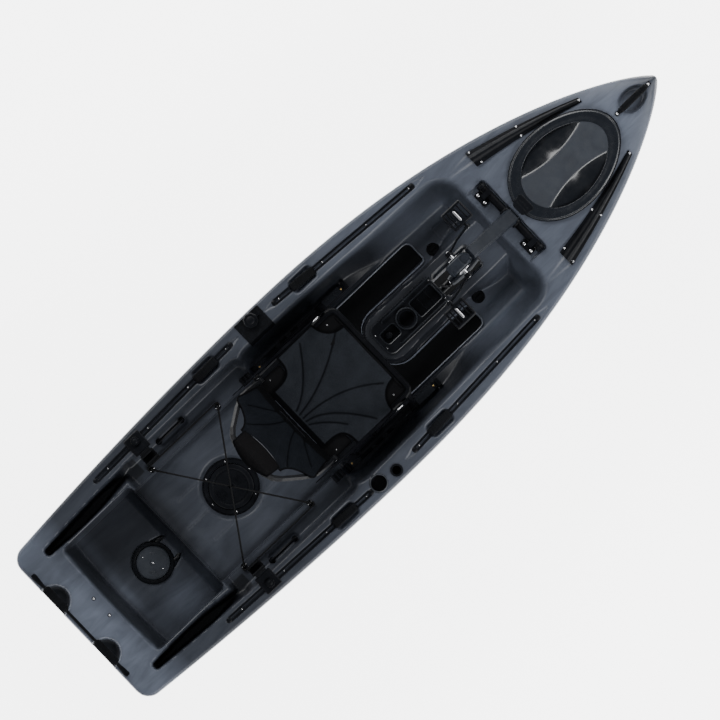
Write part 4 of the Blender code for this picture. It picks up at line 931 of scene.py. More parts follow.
BACK_SEAMS = [((0.035, 0.022), (0.12, 0.030), (0.285, 0.118)), ((0.035, 0.045), (0.10, 0.110), (0.190, 0.170)),
              ((0.035, -0.022), (0.12, -0.030), (0.285, -0.118)), ((0.035, -0.045), (0.10, -0.110), (0.170, -0.180))]


def back_point(up, across, out):
    """Places on the reclined back, from its pivot."""
    up, across, out = (np.asarray(k, float) for k in (up, across, out))
    base = np.array(BACK_PIVOT)
    return (base + up[:, None] * np.array(UP_BACK) + out[:, None] * np.array(OUT_BACK)
            + across[:, None] * np.array((0, 1, 0)))


def back_lift(u, v):
    """The back panel, stretched between its side tubes and hitched in along its seams."""
    inward = np.clip(1 - (np.abs(v) / 0.212) ** 2, 0, 1)
    sag = 0.020 * inward * (0.5 + 0.5 * np.sin(np.pi * np.clip(u / 0.36, 0, 1)))
    seams = near_curves(u, v, BACK_SEAMS)
    hitch = 0.0030 * np.exp(-((seams / 0.006) ** 2)) - 0.0024 * np.exp(-(((seams - 0.020) / 0.016) ** 2))
    over = np.clip(np.abs(v) - 0.212, 0, 0.013)
    return back_point(u, v, TUBE_R + 0.0045 - over * 0.6 - sag - hitch * (0.3 + 0.7 * inward))


def add_seat_fabric():
    """The seat, back and head panels, with piping along the head panel."""
    mesh_look = fabric_material("seat_mesh", (0.0065, 0.0074, 0.0092), (0.0200, 0.0226, 0.0275), 260.0)
    back_look = fabric_material("back_mesh", (0.0022, 0.0027, 0.0036), (0.0062, 0.0074, 0.0098), 260.0)
    head_look = fabric_material("head_panel_cloth", (0.0020, 0.0019, 0.0021), (0.0042, 0.0041, 0.0045), 320.0)
    # The edge mark also blackens the seat panel's rear strip and the back panel's foot as painted shade of the gap
    # between them, where the frame's rear tube lies.
    seat = link(cloth_mesh("seat_panel", ((-0.396, 0.018), (-0.242, 0.242)), 0.0032, seat_outline, seat_lift, 0.0025,
                           {"seam": lambda u, v: near_curves(u, v, SEAT_SEAMS),
                            "edge": lambda u, v: np.minimum(-seat_outline(u, v), u + 0.3775)}),
                mesh_look, "seat", 60)
    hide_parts("seat_sling")
    back = link(cloth_mesh("back_panel", ((0.030, 0.345), (-0.224, 0.224)), 0.0032, back_outline, back_lift, 0.0025,
                           {"seam": lambda u, v: near_curves(u, v, BACK_SEAMS),
                            "edge": lambda u, v: np.minimum(-back_outline(u, v), u - 0.066)}),
                back_look, "backrest", 60)
    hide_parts("backrest_sling")

    def head_lift(u, v):
        wrap = 0.020 * np.clip((u - 0.438) / 0.034, 0, 1) ** 2
        return back_point(u, v, TUBE_R + 0.0080 - wrap - 0.006 * np.clip(1 - (v / 0.12) ** 2, 0, 1)
                          * np.clip((0.44 - u) / 0.10, 0, 1))

    head = link(cloth_mesh("head_panel", ((0.300, 0.474), (-0.126, 0.126)), 0.0032, head_shape, head_lift, 0.0040,
                           {"seam": lambda u, v: 1.0 + 0.0 * u, "edge": lambda u, v: -head_shape(u, v)}),
                head_look, "backrest", 60)
    piping = []
    for k in range(25):
        v = -0.101 + 0.202 * k / 24
        piping.append(tuple(back_point([0.322 + 0.026 * (v / 0.104) ** 2], [v], [TUBE_R + 0.0055])[0]))
    pale = plain_material("pale_piping", (0.024, 0.026, 0.031), (0.038, 0.041, 0.048), 0.6)
    Form().tube(piping, 0.0022).piece("head_piping", pale, "backrest", "seat_mesh")


def head_shape(u, v):
    """The head panel, barrel shaped: its lower and upper edges both bow outward."""
    sheet = outline(v, u, [(-0.104, 0.318), (0.104, 0.318), (0.098, 0.473), (-0.098, 0.473)], 0.010)
    sheet = np.maximum(sheet, u - 0.472 + 0.020 * (v / 0.100) ** 2)
    return np.maximum(sheet, 0.322 + 0.026 * (v / 0.104) ** 2 - u)


def add_seat_details():
    """Corner plates, pivot bosses and their screws."""
    plates, screws = Form(), Form()
    for sign in SIDES.values():
        for x0, x1, z in ((-0.080, 0.020, 0.4155), (-0.398, -0.285, 0.3985)):
            low, high = sorted((sign * 0.118, sign * 0.2165))
            plates.slab(rounded(oblong(x0, x1, low, high), 0.012), z, z + 0.003, 0.0008)
            screws.screw((x0 + 0.045, sign * 0.192, z + 0.003), 0.0036)
        screws.screw((BACK_PIVOT.x, sign * 0.2265, BACK_PIVOT.z), 0.006, (0, sign, 0))
        plates.turned([(0, 0.006), (0.011, 0.006), (0.0135, 0.003), (0.0135, -0.004), (0, -0.004)],
                      (BACK_PIVOT.x, sign * 0.2335, BACK_PIVOT.z), "Y", 20)
    plates.tube([(0.0105, -0.19, SEAT_Z - 0.004), (0.0105, 0.19, SEAT_Z - 0.004)], 0.0075, 12)
    plates.piece("seat_plates", DULL, "seat")
    screws.piece("seat_screws", STEEL, "seat")


def add_seat_straps():
    """The webbing from the back down to each side of the seat, with a wire adjuster."""
    buckle = Form()
    for side, sign in SIDES.items():
        top = BACK_PIVOT + UP_BACK * 0.20 + Vector((0.0, sign * 0.240, 0.0))
        bottom = Vector((SEAT_X1 - 0.035, sign * 0.2440, SEAT_Z + 0.003))
        run = (bottom - top).normalized()
        up = run.cross(Vector((0, 1, 0))).normalized()
        rings = []
        for k in range(25):
            t = k / 24
            at = top.lerp(bottom, t) - Vector((0, 0, 0.010 * math.sin(math.pi * t)))
            twist = Matrix.Rotation(0.5 * math.sin(math.pi * t) * sign, 3, run)
            wide, flat = twist @ up * 0.0115, twist @ Vector((0, 1, 0)) * 0.0011
            face = [at + wide * share + flat * bulge for share, bulge in ((1, 1), (0.5, 1.3), (-0.5, 1.3), (-1, 1))]
            rings.append(face + [at + at - corner for corner in face])
        strap = Form().skin(rings, closed=True).piece(f"side_strap_{side}", WEBBING, None, "webbing", 60)
        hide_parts("seat_strap_" + side)
        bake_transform(strap)
        place = Matrix.Translation(bottom - run * 0.055) @ (-run).to_track_quat("X", "Z").to_matrix().to_4x4()
        frame_ring = [place @ Vector((px, 0.0045, pz)) for px, pz in
                      ((-0.014, -0.015), (0.014, -0.015), (0.014, 0.015), (-0.014, 0.015))]
        buckle.tube(frame_ring, 0.0018, 6, closed=True)
        buckle.tube([place @ Vector((0.0, 0.0045, pz)) for pz in (-0.015, 0.015)], 0.0018, 6)
    buckle.piece("strap_adjusters", STEEL, "seat")


# ---------------------------------------------------------------- hatches and caps


def egg_point(share, angle):
    """A place in plan at a share of the bow hatch's outline and an angle round it."""
    middle, long = (HATCH_X0 + HATCH_X1) / 2, (HATCH_X1 - HATCH_X0) / 2
    u = share * np.cos(angle)
    return middle + long * u, share * HATCH_HALF * np.sin(angle) * (1 - 0.10 * np.cos(angle))


HATCH_MIDDLE = (HATCH_X0 + HATCH_X1) / 2 - 0.004


def hourglass(x, y):
    """Positive in the two dished crescents, negative in the waisted middle of the lid."""
    return np.abs(y) - 0.053 - (x - HATCH_MIDDLE) ** 2


def add_bow_hatch():
    """The egg-shaped cover with its two crescents, a pull tab and a seal."""
    shares = np.concatenate([np.linspace(0.0, 0.78, 62)[1:], np.linspace(0.78, 1.030, 44)[1:]])
    angles = np.linspace(0, 2 * np.pi, 241)[:-1]
    share, angle = np.meshgrid(shares, angles, indexing="ij")
    x, y = egg_point(share, angle)
    rim = 0.0040 + 0.0062 * step((1.028 - share) / 0.035) - 0.0030 * step((0.930 - share) / 0.115)
    crescent = np.clip(hourglass(x, y), 0, None)
    middle_dip = 1 + 0.55 * np.exp(-(((x - HATCH_MIDDLE + 0.25 * crescent) / 0.030) ** 2))
    bowl = (1 - np.exp(-crescent / 0.055)) * step((0.812 - share) / 0.025) * middle_dip
    z = hatch_plane(x) + rim - 0.0165 * bowl - 0.0014 * step(crescent / 0.003) * (share < 0.80)
    top = np.stack([x, y, z], -1)
    under = np.stack([x[-1], y[-1], hatch_plane(x[-1]) + 0.0006], -1)[None]
    inner = np.stack([x[-40], y[-40], hatch_plane(x[-40]) - 0.0210], -1)[None]
    verts = np.concatenate([top, under, inner]).reshape(-1, 3)
    count, loops = len(angles), len(shares) + 2
    middle = len(verts)
    centre = [HATCH_X0 * 0.5 + HATCH_X1 * 0.5, 0.0]
    level = height(hatch_plane, centre[0])
    verts = np.concatenate([verts, [[*centre, level + 0.0072], [*centre, level - 0.0210]]])
    faces = []
    for i in range(loops - 1):
        for j in range(count):
            k = (j + 1) % count
            faces.append((i * count + j, (i + 1) * count + j, (i + 1) * count + k, i * count + k))
    faces += [(middle, j, (j + 1) % count) for j in range(count)]
    last = (loops - 1) * count
    faces += [(middle + 1, last + (j + 1) % count, last + j) for j in range(count)]
    mesh = bpy.data.meshes.new("bow_hatch_cover")
    mesh.from_pydata(verts.tolist(), [], faces)
    dished = step(crescent / 0.003) * step((0.815 - share) / 0.01)
    gloss = np.concatenate([np.maximum(dished, 0.80 * step((share - 0.80) / 0.012)).reshape(-1),
                            np.zeros(2 * count + 2)])
    mesh.attributes.new("gloss", "FLOAT", "POINT").data.foreach_set("value", gloss)

    m = Nodes("hatch_cover_plastic", 0.4)
    shine = m.add("ShaderNodeAttribute", output="Fac", attribute_name="gloss")
    cloud = m.noise(12.0, 4.0, 0.6)
    body = m.mix(m.ramp(cloud, 0.3, 0.7), (0.011, 0.0138, 0.0195), (0.017, 0.0210, 0.0290))
    m.to(m.mix(shine, body, (0.0040, 0.0050, 0.0070)), "Base Color")
    rough = m.ramp(m.noise(40.0, 3.0), 0.3, 0.7, 0.46, 0.56)
    m.to(m.maths("SUBTRACT", rough, m.maths("MULTIPLY", shine, 0.32)), "Roughness")
    m.bump(m.noise(380.0, 3.0, 0.6), 0.02, 0.0002)
    cover = link(mesh, m.material, "bow_hatch", 60)
    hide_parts("bow_hatch_lid")
    tab = Form()
    lean = math.atan(HATCH_LEAN)
    x = HATCH_X0 + 0.020
    place = Matrix.Translation((x, 0, height(hatch_plane, x))) @ Matrix.Rotation(-lean, 4, "Y")
    tab.slab(rounded([(-0.038, -0.030), (0.020, -0.046), (0.020, 0.046), (-0.038, 0.030)], 0.012), 0.001, 0.0115,
             0.002, place)
    for rear in (-0.022, -0.008):
        tab.slab(rounded(oblong(rear, rear + 0.008, -0.026, 0.026), 0.0035), 0.0113, 0.0135, 0.0008, place)
    tab.piece("bow_hatch_tab", LID, "bow_hatch")
    bead = []
    for px, py in (egg_point(1.042, a) for a in angles[::3]):
        bead.append((float(px), float(py), height(hatch_plane, px) + 0.0015))
    Form().tube(bead, 0.0020, 6, closed=True).piece("bow_hatch_seal", RUBBER, "hull")


def add_rear_hatch():
    """Grip ribs on the round lid, a toothed rim and six screws."""
    lid, screws = Form(), Form()
    at = ROUND_HATCH
    lid.turned([(0.0720, 0.0088), (0.0745, 0.0106), (0.0880, 0.0106), (0.0905, 0.0086), (0.0905, 0.0070),
                (0.0720, 0.0070)], at, steps=64)
    lid.turned([(0, 0.0062), (0.0160, 0.0062), (0.0180, 0.0044), (0, 0.0044)], at, steps=32)
    for flip in (0, math.pi):
        for radius in (0.034, 0.043, 0.052, 0.061):
            arc = circle(at.x, at.y, at.z + 0.0052, radius, 14, flip - 0.42, 0.90)
            lid.tube(arc, 0.0020, 6)
    lid.piece("rear_hatch_grips", LID, "rear_hatch")
    ring = Form()
    ring.turned([(0.1140, 0.0095), (0.1165, 0.0070), (0.1165, 0.0015), (0.1130, 0.0015), (0.1130, 0.0095)], at,
                steps=72)
    for k in range(24):
        a = 2 * math.pi * (k + 0.5) / 24
        place = Matrix.Translation(at) @ Matrix.Rotation(a, 4, "Z")
        ring.block((0.1085, -0.0035, 0.0085), (0.1145, 0.0035, 0.0104), 0.0006, place)
    ring.piece("rear_hatch_rim", BLACK, "hull")
    for k in range(6):
        a = math.radians(60 * k)
        screws.screw((at.x + 0.1035 * math.cos(a), at.y + 0.1035 * math.sin(a), at.z + 0.0090), 0.0034)
    screws.piece("rear_hatch_screws", STEEL, "hull")


def add_stern_cap():
    """The well plate: its ring with two horns, its face and its screws."""
    at = STERN_CAP
    ring = Form()
    ring.turned([(0.0712, 0.0072), (0.0740, 0.0095), (0.0835, 0.0085), (0.0865, 0.0040), (0.0865, -0.0030),
                 (0.0712, -0.0030)], at, steps=64)
    for sign in SIDES.values():
        horn = [(at.x + 0.060, sign * 0.050), (at.x + 0.082, sign * 0.052), (at.x + 0.098, sign * 0.049),
                (at.x + 0.110, sign * 0.044)]
        ring.tube([(x, y, at.z - 0.001) for x, y in horn], [0.0090, 0.0085, 0.0070, 0.0040], 10)
    ring.piece("stern_cap_ring", BLACK, "hull")
    face = Form()
    face.turned([(0.0, 0.0098), (0.0110, 0.0098), (0.0125, 0.0080), (0.0, 0.0080)], at, steps=28)
    face.turned([(0.0560, 0.0078), (0.0570, 0.0092), (0.0610, 0.0092), (0.0620, 0.0078)], at, steps=56)
    for flip in (0.15 * math.pi, 1.15 * math.pi):
        for radius in (0.036, 0.042):
            face.tube(circle(at.x, at.y, at.z + 0.0082, radius, 12, flip, 0.7), 0.0013, 6)
    face.piece("stern_cap_face", CAP, "stern_plate", "hatch_plastic")
    screws = Form().screw((at.x, at.y, at.z + 0.0098), 0.0040)
    for a in (0.5 * math.pi, 1.5 * math.pi):
        screws.screw((at.x + 0.046 * math.cos(a + 0.3), at.y + 0.046 * math.sin(a + 0.3), at.z + 0.0080), 0.0030)
    screws.piece("stern_cap_screws", STEEL, "stern_plate")


def add_plugs():
    """A grip bar on each scupper plug."""
    for side, sign in SIDES.items():
        at = (0.4835, sign * 0.132, FLOOR_Z)
        top = Form()
        top.turned([(0.0165, 0.0066), (0.0175, 0.0080), (0.0215, 0.0080), (0.0235, 0.0060), (0.0165, 0.0060)], at,
                   steps=32)
        place = Matrix.Translation(at)
        top.slab(rounded(oblong(-0.0150, 0.0150, -0.0035, 0.0035), 0.003), 0.0062, 0.0105, 0.0012, place)
        top.piece("plug_grip_" + side, RUBBER, "plug_" + side)


# ---------------------------------------------------------------- console, pads and floor


def add_console():
    """Beads, the cup ring, the bin, the key slot and two rails on the console's tray."""
    z = CONSOLE_Z + 0.006
    trim = Form()
    edge = rounded(oblong(0.0642, 0.3890, -0.0695, 0.0695), 0.032, 8)
    trim.tube([(x, y, z) for x, y in edge], 0.0024, 8, closed=True)
    trim.turned([(0.0385, 0.0), (0.0385, 0.0075), (0.0405, 0.0095), (0.0445, 0.0085), (0.0465, 0.0),
                 (0.0385, -0.001)], (0.2138, 0, z), steps=48)
    trim.turned([(0.0300, -0.030), (0.0300, -0.027), (0.0370, -0.027), (0.0370, -0.030)], (0.2138, 0, z), steps=40)
    bin_edge = rounded(oblong(0.2590, 0.3790, -0.039, 0.039), 0.010, 5)
    trim.tube([(x, y, z + 0.001) for x, y in bin_edge], 0.0028, 8, closed=True)
    for x in (0.2990, 0.3390):
        trim.tube([(x, -0.034, 0.2042), (x, 0.034, 0.2042)], 0.0016, 6)
    key = rounded(oblong(0.0850, 0.1630, -0.029, 0.029), 0.014, 6)
    trim.tube([(x, y, z + 0.0005) for x, y in key], 0.0024, 8, closed=True)
    trim.turned([(0.0, 0.002), (0.0120, 0.002), (0.0150, 0.0), (0.0150, -0.005), (0.0, -0.005)], (0.1160, 0, 0.2145),
                steps=24)
    for y in (0.060, -0.060):
        rail = [(0.128, y * 0.9, z + 0.001), (0.134, y, z + 0.008), (0.142, y, z + 0.011), (0.380, y, z + 0.011),
                (0.388, y, z + 0.008), (0.392, y * 0.95, z + 0.001)]
        trim.tube(rail, 0.0028, 8)
        for x in (0.200, 0.300):
            trim.tube([(x, y, z), (x, y, z + 0.010)], 0.0022, 6)
    trim.piece("console_trim", TRIM, "hull")
    screws = Form()
    for x, y in ((0.0745, 0.035), (0.0745, -0.035), (0.250, 0.060), (0.250, -0.060), (0.3825, 0.050),
                 (0.3825, -0.050)):
        screws.screw((x, y, z), 0.0036)
    screws.piece("console_screws", STEEL, "hull")


def add_pad_border():
    """The raised pale bead of hull plastic that frames the floor pad and runs round the console's rear."""
    z = FLOOR_Z + 0.003
    bead = Form()
    for sign in SIDES.values():
        run = [(0.020, sign * 0.2275), (0.404, sign * 0.2275), (0.420, sign * 0.2235), (0.4295, sign * 0.212),
               (0.4305, sign * 0.200), (0.4305, sign * 0.135), (0.424, sign * 0.1245), (0.410, sign * 0.1205),
               (0.120, sign * 0.1245)]
        sweep = [(0.120 - 0.094 * math.sin(a), sign * (0.1245 - 0.088 * (1 - math.cos(a)))) for a in
                 (math.pi / 2 * k / 8 for k in range(1, 8))]
        bead.tube([(x, y, z) for x, y in run + sweep], 0.0036, 8)
    bead.piece("pad_border", pale_hull_material(), "hull", "hull_polyethylene")


def pale_hull_material():
    """Hull plastic in a paler grey."""
    return plain_material("pale_polyethylene", (0.085, 0.096, 0.120), (0.13, 0.145, 0.18), 0.42)


def foam_texture():
    """Fine diamond knurl for the floor pad."""
    m = Nodes("eva_foam_pad", 0.85, specular=0.12)
    m.to(m.mix(m.noise(30.0, 3.0, 0.6), (0.0014, 0.0016, 0.0020), (0.0036, 0.0040, 0.0048)), "Base Color")
    one, two = (m.wave(70.0, m.place((1, 1, 0.01), (0, 0, 0.785)), along) for along in "XY")
    m.bump(m.maths("MULTIPLY", one, two), 0.4, 0.0008)
    return m.material


# ---------------------------------------------------------------- gunwale fittings


def track_point(name, x, lift=0.0):
    """A place on a gear track's centre line."""
    a, b = TRACKS[name]
    at = a.lerp(b, (x - a.x) / (b.x - a.x))
    return Vector((at.x, at.y, TRACK_TOP + lift))


def add_gunwale_details():
    """Track screws and end stops, and the other screws along the gunwale and the deck."""
    screws, black = Form(), Form()
    for name in TRACKS:
        for x in (-1.0675, -0.8392, -0.6110, -0.3955) if "rear" in name else (-0.1025, 0.1257, 0.3540, 0.5790):
            at = track_point(name, x, -0.0078)
            black.turned([(0.0, 0.0032), (0.0034, 0.0032), (0.0037, 0.0), (0.0, 0.0)], at, steps=12)
            screws.screw(at + Vector((0, 0, 0.0060)), 0.0036)
        a, b = TRACKS[name]
        unit = (b - a).normalized()
        for end, way in ((a, -1), (b, 1)):
            tip = end + unit * way * 0.004
            black.turned([(0, 0.0018), (0.0085, 0.0018), (0.0110, 0.0004), (0.0110, -0.0080), (0, -0.0080)],
                         (tip.x, tip.y, TRACK_TOP - 0.001), steps=20)
    for sign in SIDES.values():
        for x, y in ((0.852, 0.310), (0.864, 0.248), (1.060, 0.2585), (1.050, 0.2065), (1.3135, 0.150)):
            share = (x - 0.838) / 0.480
            middle = 0.790 * height(half_beam, x)
            half = 0.036 * (1 - share) + 0.012 * share
            y = middle + math.copysign(0.84 * half, y - middle) if x < 1.3 else middle
            top = 0.60 * half if x > 1.3 else 0.07 * half
            base = height(deck, x, middle) + 0.0045
            screws.screw((x, sign * y, base + top - 0.09 * (y - middle)), 0.0044)
        if sign > 0:
            for x in (-0.2907, -0.1906):
                screws.screw((x, 0.3540, 0.3262), 0.0046, (0, -0.9, 0.45))
    for x in (1.3865, 1.5560):
        screws.screw((x, 0, height(deck, x, 0.0) + 0.0058), 0.0052)
    for y in (0.052, -0.040):
        z = height(sheer, -1.468)
        black.turned([(0.0, 0.0022), (0.0060, 0.0022), (0.0075, 0.0008), (0.0075, -0.004), (0.0, -0.004)],
                     (-1.468, y, z), steps=20)
        screws.screw((-1.468, y, z + 0.0020), 0.0042)
    screws.piece("deck_screws", STEEL, "hull")
    black.piece("track_ends", BLACK, "hull")


def add_side_grips():
    """Finger ribs on the four soft grips."""
    ribs = Form()
    for name in TRACKS:
        at = track_point(name, GRIPS_X[name.split("_")[0]])
        a, b = TRACKS[name]
        place = Matrix.Translation(at) @ Matrix.Rotation(math.atan2(b.y - a.y, b.x - a.x), 4, "Z")
        for k in range(-4, 5):
            ribs.slab(rounded(oblong(0.0118 * k - 0.0028, 0.0118 * k + 0.0028, -0.0155, 0.0155), 0.002), 0.0055,
                      0.0075, 0.0008, place)
    ribs.piece("side_grip_ribs", RUBBER, "hull")


def add_tie_loops():
    """Two bars beside the tank well for tying gear down."""
    bars = Form()
    for sign in SIDES.values():
        x0, x1, y, z = -0.850, -0.718, sign * 0.3290, SHELF_Z + 0.028
        path = [(x0, y, z - 0.020), (x0 + 0.003, y, z - 0.006), (x0 + 0.014, y, z), (x1 - 0.014, y, z),
                (x1 - 0.003, y, z - 0.006), (x1, y, z - 0.020)]
        bars.tube(path, 0.0062, 10)
        for x in (x0 + 0.004, x1 - 0.004):
            bars.turned([(0, 0.004), (0.010, 0.004), (0.013, 0.0), (0.013, -0.006), (0, -0.006)], (x, y, z - 0.018),
                        steps=20)
    bars.piece("tie_loops", BLACK, "hull")


def add_plate_and_knob():
    """The knob's dial, and a speckled grain on the mount plate."""
    knob = Form()
    z = KNOB.z + 0.0275
    place = Matrix.Translation((KNOB.x, KNOB.y, z))
    knob.turned([(0.0, 0.0030), (0.0125, 0.0030), (0.0165, 0.0012), (0.0180, -0.001), (0.0, -0.001)],
                (KNOB.x, KNOB.y, z), steps=32)
    knob.turned([(0.0205, -0.0005), (0.0215, 0.0012), (0.0240, 0.0012), (0.0250, -0.0005)], (KNOB.x, KNOB.y, z),
                steps=40)
    knob.slab(rounded([(0.016, -0.0022), (0.028, -0.0012), (0.028, 0.0012), (0.016, 0.0022)], 0.0008, 2), 0.0005,
              0.0024, 0.0005, place)
    knob.piece("knob_dial", BLACK, "knob")
    m = Nodes("speckled_plate", 0.60, specular=0.06)
    dots = m.noise(420.0, 2.0, 0.5)
    m.to(m.mix(m.ramp(dots, 0.56, 0.66), (0.0018, 0.0021, 0.0028), (0.0080, 0.0095, 0.0125)), "Base Color")
    m.bump(dots, 0.35, 0.0006)
    dress("mount_plate", m.material)


def add_cup_holder():
    """A liner of hull plastic with a rolled lip, sitting in the gunwale."""
    low = 0.257 - CUP.z
    Form().turned([(0.0, low + 0.003), (0.0300, low + 0.003), (0.0315, low + 0.006), (0.0325, -0.004),
                   (0.0335, 0.0040),
                   (0.0350, 0.0045), (0.0370, 0.0030), (0.0380, 0.0005), (0.0380, -0.002), (0.0345, -0.002),
                   (0.0340, low), (0.0, low)], CUP, steps=56).piece("cup_liner", CAP, "hull", "hull_polyethylene")


def add_paddle_holders():
    """A scalloped knob, a base and ribs on each paddle clip."""
    for side, sign in SIDES.items():
        y = track_point("rear_" + side, BRACKET_X).y
        z = TRACK_TOP + 0.0076
        body = Form()
        for k in range(10):
            a = 2 * math.pi * k / 10
            body.turned([(0, 0.0128), (0.0028, 0.0128), (0.0036, 0.0118), (0.0036, 0.0008), (0, 0.0008)],
                        (BRACKET_X + 0.0148 * math.cos(a), y + 0.0148 * math.sin(a), z), steps=10)
        body.turned([(0, 0.0150), (0.0075, 0.0150), (0.0095, 0.0138), (0.0095, 0.0120), (0, 0.0120)],
                    (BRACKET_X, y, z), steps=24)
        inner = y - sign * 0.034
        low, high = sorted((inner - 0.012, inner + 0.012))
        body.slab(rounded(oblong(BRACKET_X - 0.030, BRACKET_X + 0.030, low, high), 0.004), z - 0.0005, z + 0.0030,
                  0.0010)
        name = "paddle_holder_" + side
        body.piece("paddle_knob_" + side, BLACK, name)
        clip = Form()
        middle, centre = y - sign * 0.086, z - 0.0136
        for dx in (-0.024, 0.0, 0.024):
            for turn in (1, -1):
                points = []
                for k in range(9):
                    a = math.radians(58 - 118 * k / 8) if turn > 0 else math.radians(122 + 118 * k / 8)
                    points.append((BRACKET_X + dx, middle + 0.0232 * math.cos(a), centre + 0.0232 * math.sin(a)))
                clip.tube(points, 0.0022, 6)
        clip.piece("paddle_clip_ribs_" + side, RUBBER, name)


def cord_material():
    """Black braid, from two crossed bands of waves."""
    m = Nodes("braided_cord", 0.70, specular=0.15)
    one, two = (m.wave(190.0, m.place((1, 1, 1), turn), "X") for turn in ((0.6, 0.5, 0.4), (0.6, -0.5, -0.9)))
    weave = m.maths("MULTIPLY", one, two)
    m.to(m.mix(weave, (0.0018, 0.0018, 0.0021), (0.0075, 0.0077, 0.0086)), "Base Color")
    m.bump(weave, 0.6, 0.0007)
    return m.material


def add_bungee():
    """One closed loop laced as a bow tie through the four pad eyes; one run crosses above the other."""
    z = SHELF_Z + 0.0085
    (rear, front), eye_y = PAD_EYES_X, PAD_EYES_Y
    crossing = (rear + front) / 2
    steep = eye_y / (crossing - rear)
    bend = ((0.0, 0.0), (0.009, 0.003), (0.012, 0.010), (0.008, 0.0155), (0.0, 0.0170), (-0.012, 0.0170))
    around = {(x, side): [(x + out * u, side * (eye_y + v), z) for u, v in bend]
              for x, out in ((rear, -1), (front, 1)) for side in (1, -1)}
    over = [(crossing + u, steep * u, z + 0.012) for u in (0.03, 0.0, -0.03)]
    under = [(crossing + u, -steep * u, z + 0.002) for u in (0.03, 0.0, -0.03)]
    route = around[rear, 1] + around[front, 1][::-1] + over + around[rear, -1] + around[front, -1][::-1] + under
    cord = Form().tube(route, 0.0036, 10, closed=True).piece("bungee_loop", cord_material(), "hull", "bungee")
    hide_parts("bungee_cord")


def add_bungee_tie():
    """The twist of webbing at the crossing, and the pad eyes' screws."""
    middle = sum(PAD_EYES_X) / 2
    z = SHELF_Z + 0.0085 + 0.0070
    turns = ((-0.009, 0.000, -0.002), (-0.004, 0.003, 0.006), (0.004, -0.003, 0.006),
             (0.009, 0.000, -0.002), (0.004, 0.003, -0.008), (-0.004, -0.003, -0.008))
    tie = Form().tube([(middle + u, v, z + w) for u, v, w in turns], 0.0022, 8, closed=True)
    tie.piece("bungee_tie", WEBBING, "hull", "bungee")
    screws = Form()
    for sign in SIDES.values():
        for x in PAD_EYES_X:
            for dx in (-0.0085, 0.0085):
                screws.screw((x + dx, sign * PAD_EYES_Y, SHELF_Z + 0.0043), 0.0026, tall=0.0012)
    screws.piece("pad_eye_screws", STEEL, "hull")


def add_end_handles():
    """Ribbed grips and end tabs on the bow and stern handles."""
    ribs = Form()
    for k in range(11):
        x = 1.419 + 0.0105 * k
        z = height(deck, 1.47, 0.0) + 0.0225 + 0.1 * (x - 1.47)
        ribs.slab(rounded(oblong(x - 0.0026, x + 0.0026, -0.0115, 0.0115), 0.002), z - 0.002, z + 0.0022, 0.0008)
    z = height(sheer, X_STERN) + 0.0165
    for y0, y1 in ((-0.190, -0.088), (0.102, 0.206)):
        ribs.slab(rounded(oblong(X_STERN + 0.0045, X_STERN + 0.0375, y0 - 0.007, y1 + 0.007), 0.006), z - 0.0065,
                  z + 0.0008, 0.0025)
        count = 9
        for k in range(count):
            y = y0 + (y1 - y0) * k / (count - 1)
            ribs.slab(rounded(oblong(X_STERN + 0.0080, X_STERN + 0.0340, y - 0.0026, y + 0.0026), 0.002), z - 0.002,
                      z + 0.0024, 0.0008)
    ribs.piece("end_grip_ribs", RUBBER, "hull")
    lugs = Form()
    for y in (-0.247, 0.270):
        lugs.slab(rounded(oblong(X_STERN + 0.012, X_STERN + 0.030, y - 0.020, y + 0.020), 0.003), z - 0.006,
                  z - 0.0035, 0.0008)
    lugs.piece("stern_handle_lugs", BLACK, "hull")


# ---------------------------------------------------------------- seat rails and the drive


def add_rail_details():
    """Tread strips, stops and screws on the seat rails."""
    brass, black, top = Form(), Form(), Form()
    for sign in SIDES.values():
        for x in (-0.347, 0.104):
            brass.screw((x, sign * 0.269, 0.2258), 0.0042)
        low, high = sorted((sign * 0.252, sign * 0.290))
        for x in (0.118, -0.378):
            black.block((x, low, LEDGE_Z), (x + 0.018, high, 0.226), 0.003)
        for x0, x1 in ((-0.357, -0.306), (-0.247, -0.225), (-0.187, -0.162), (-0.128, -0.030), (0.010, 0.100)):
            low, high = sorted((sign * 0.255, sign * 0.287))
            top.slab(rounded(oblong(x0, x1, low, high), 0.003), 0.2238, 0.2258, 0.0006)
        low, high = sorted((sign * 0.250, sign * 0.286))
        for x in (-0.444, -0.427, -0.410):
            black.block((x, low, SHELF_Z - 0.002), (x + 0.010, high, SHELF_Z + 0.020), 0.003)
        black.block((-0.446, low, SHELF_Z - 0.002), (-0.394, high, SHELF_Z + 0.010), 0.003)
    top.piece("rail_tops", TRIM, "hull")
    brass.piece("rail_screws", BRASS, "hull")
    black.piece("rail_stops", BLACK, "hull")


# Each collar on the crossbar: from and to along y, its three radii, its bevel and its steps
COLLARS = ((0.0265, 0.0405, 0.0168, 0.0225, 0.0235, 0.0020, 36), (0.1625, 0.1755, 0.0166, 0.0195, 0.0200, 0.0015, 32))


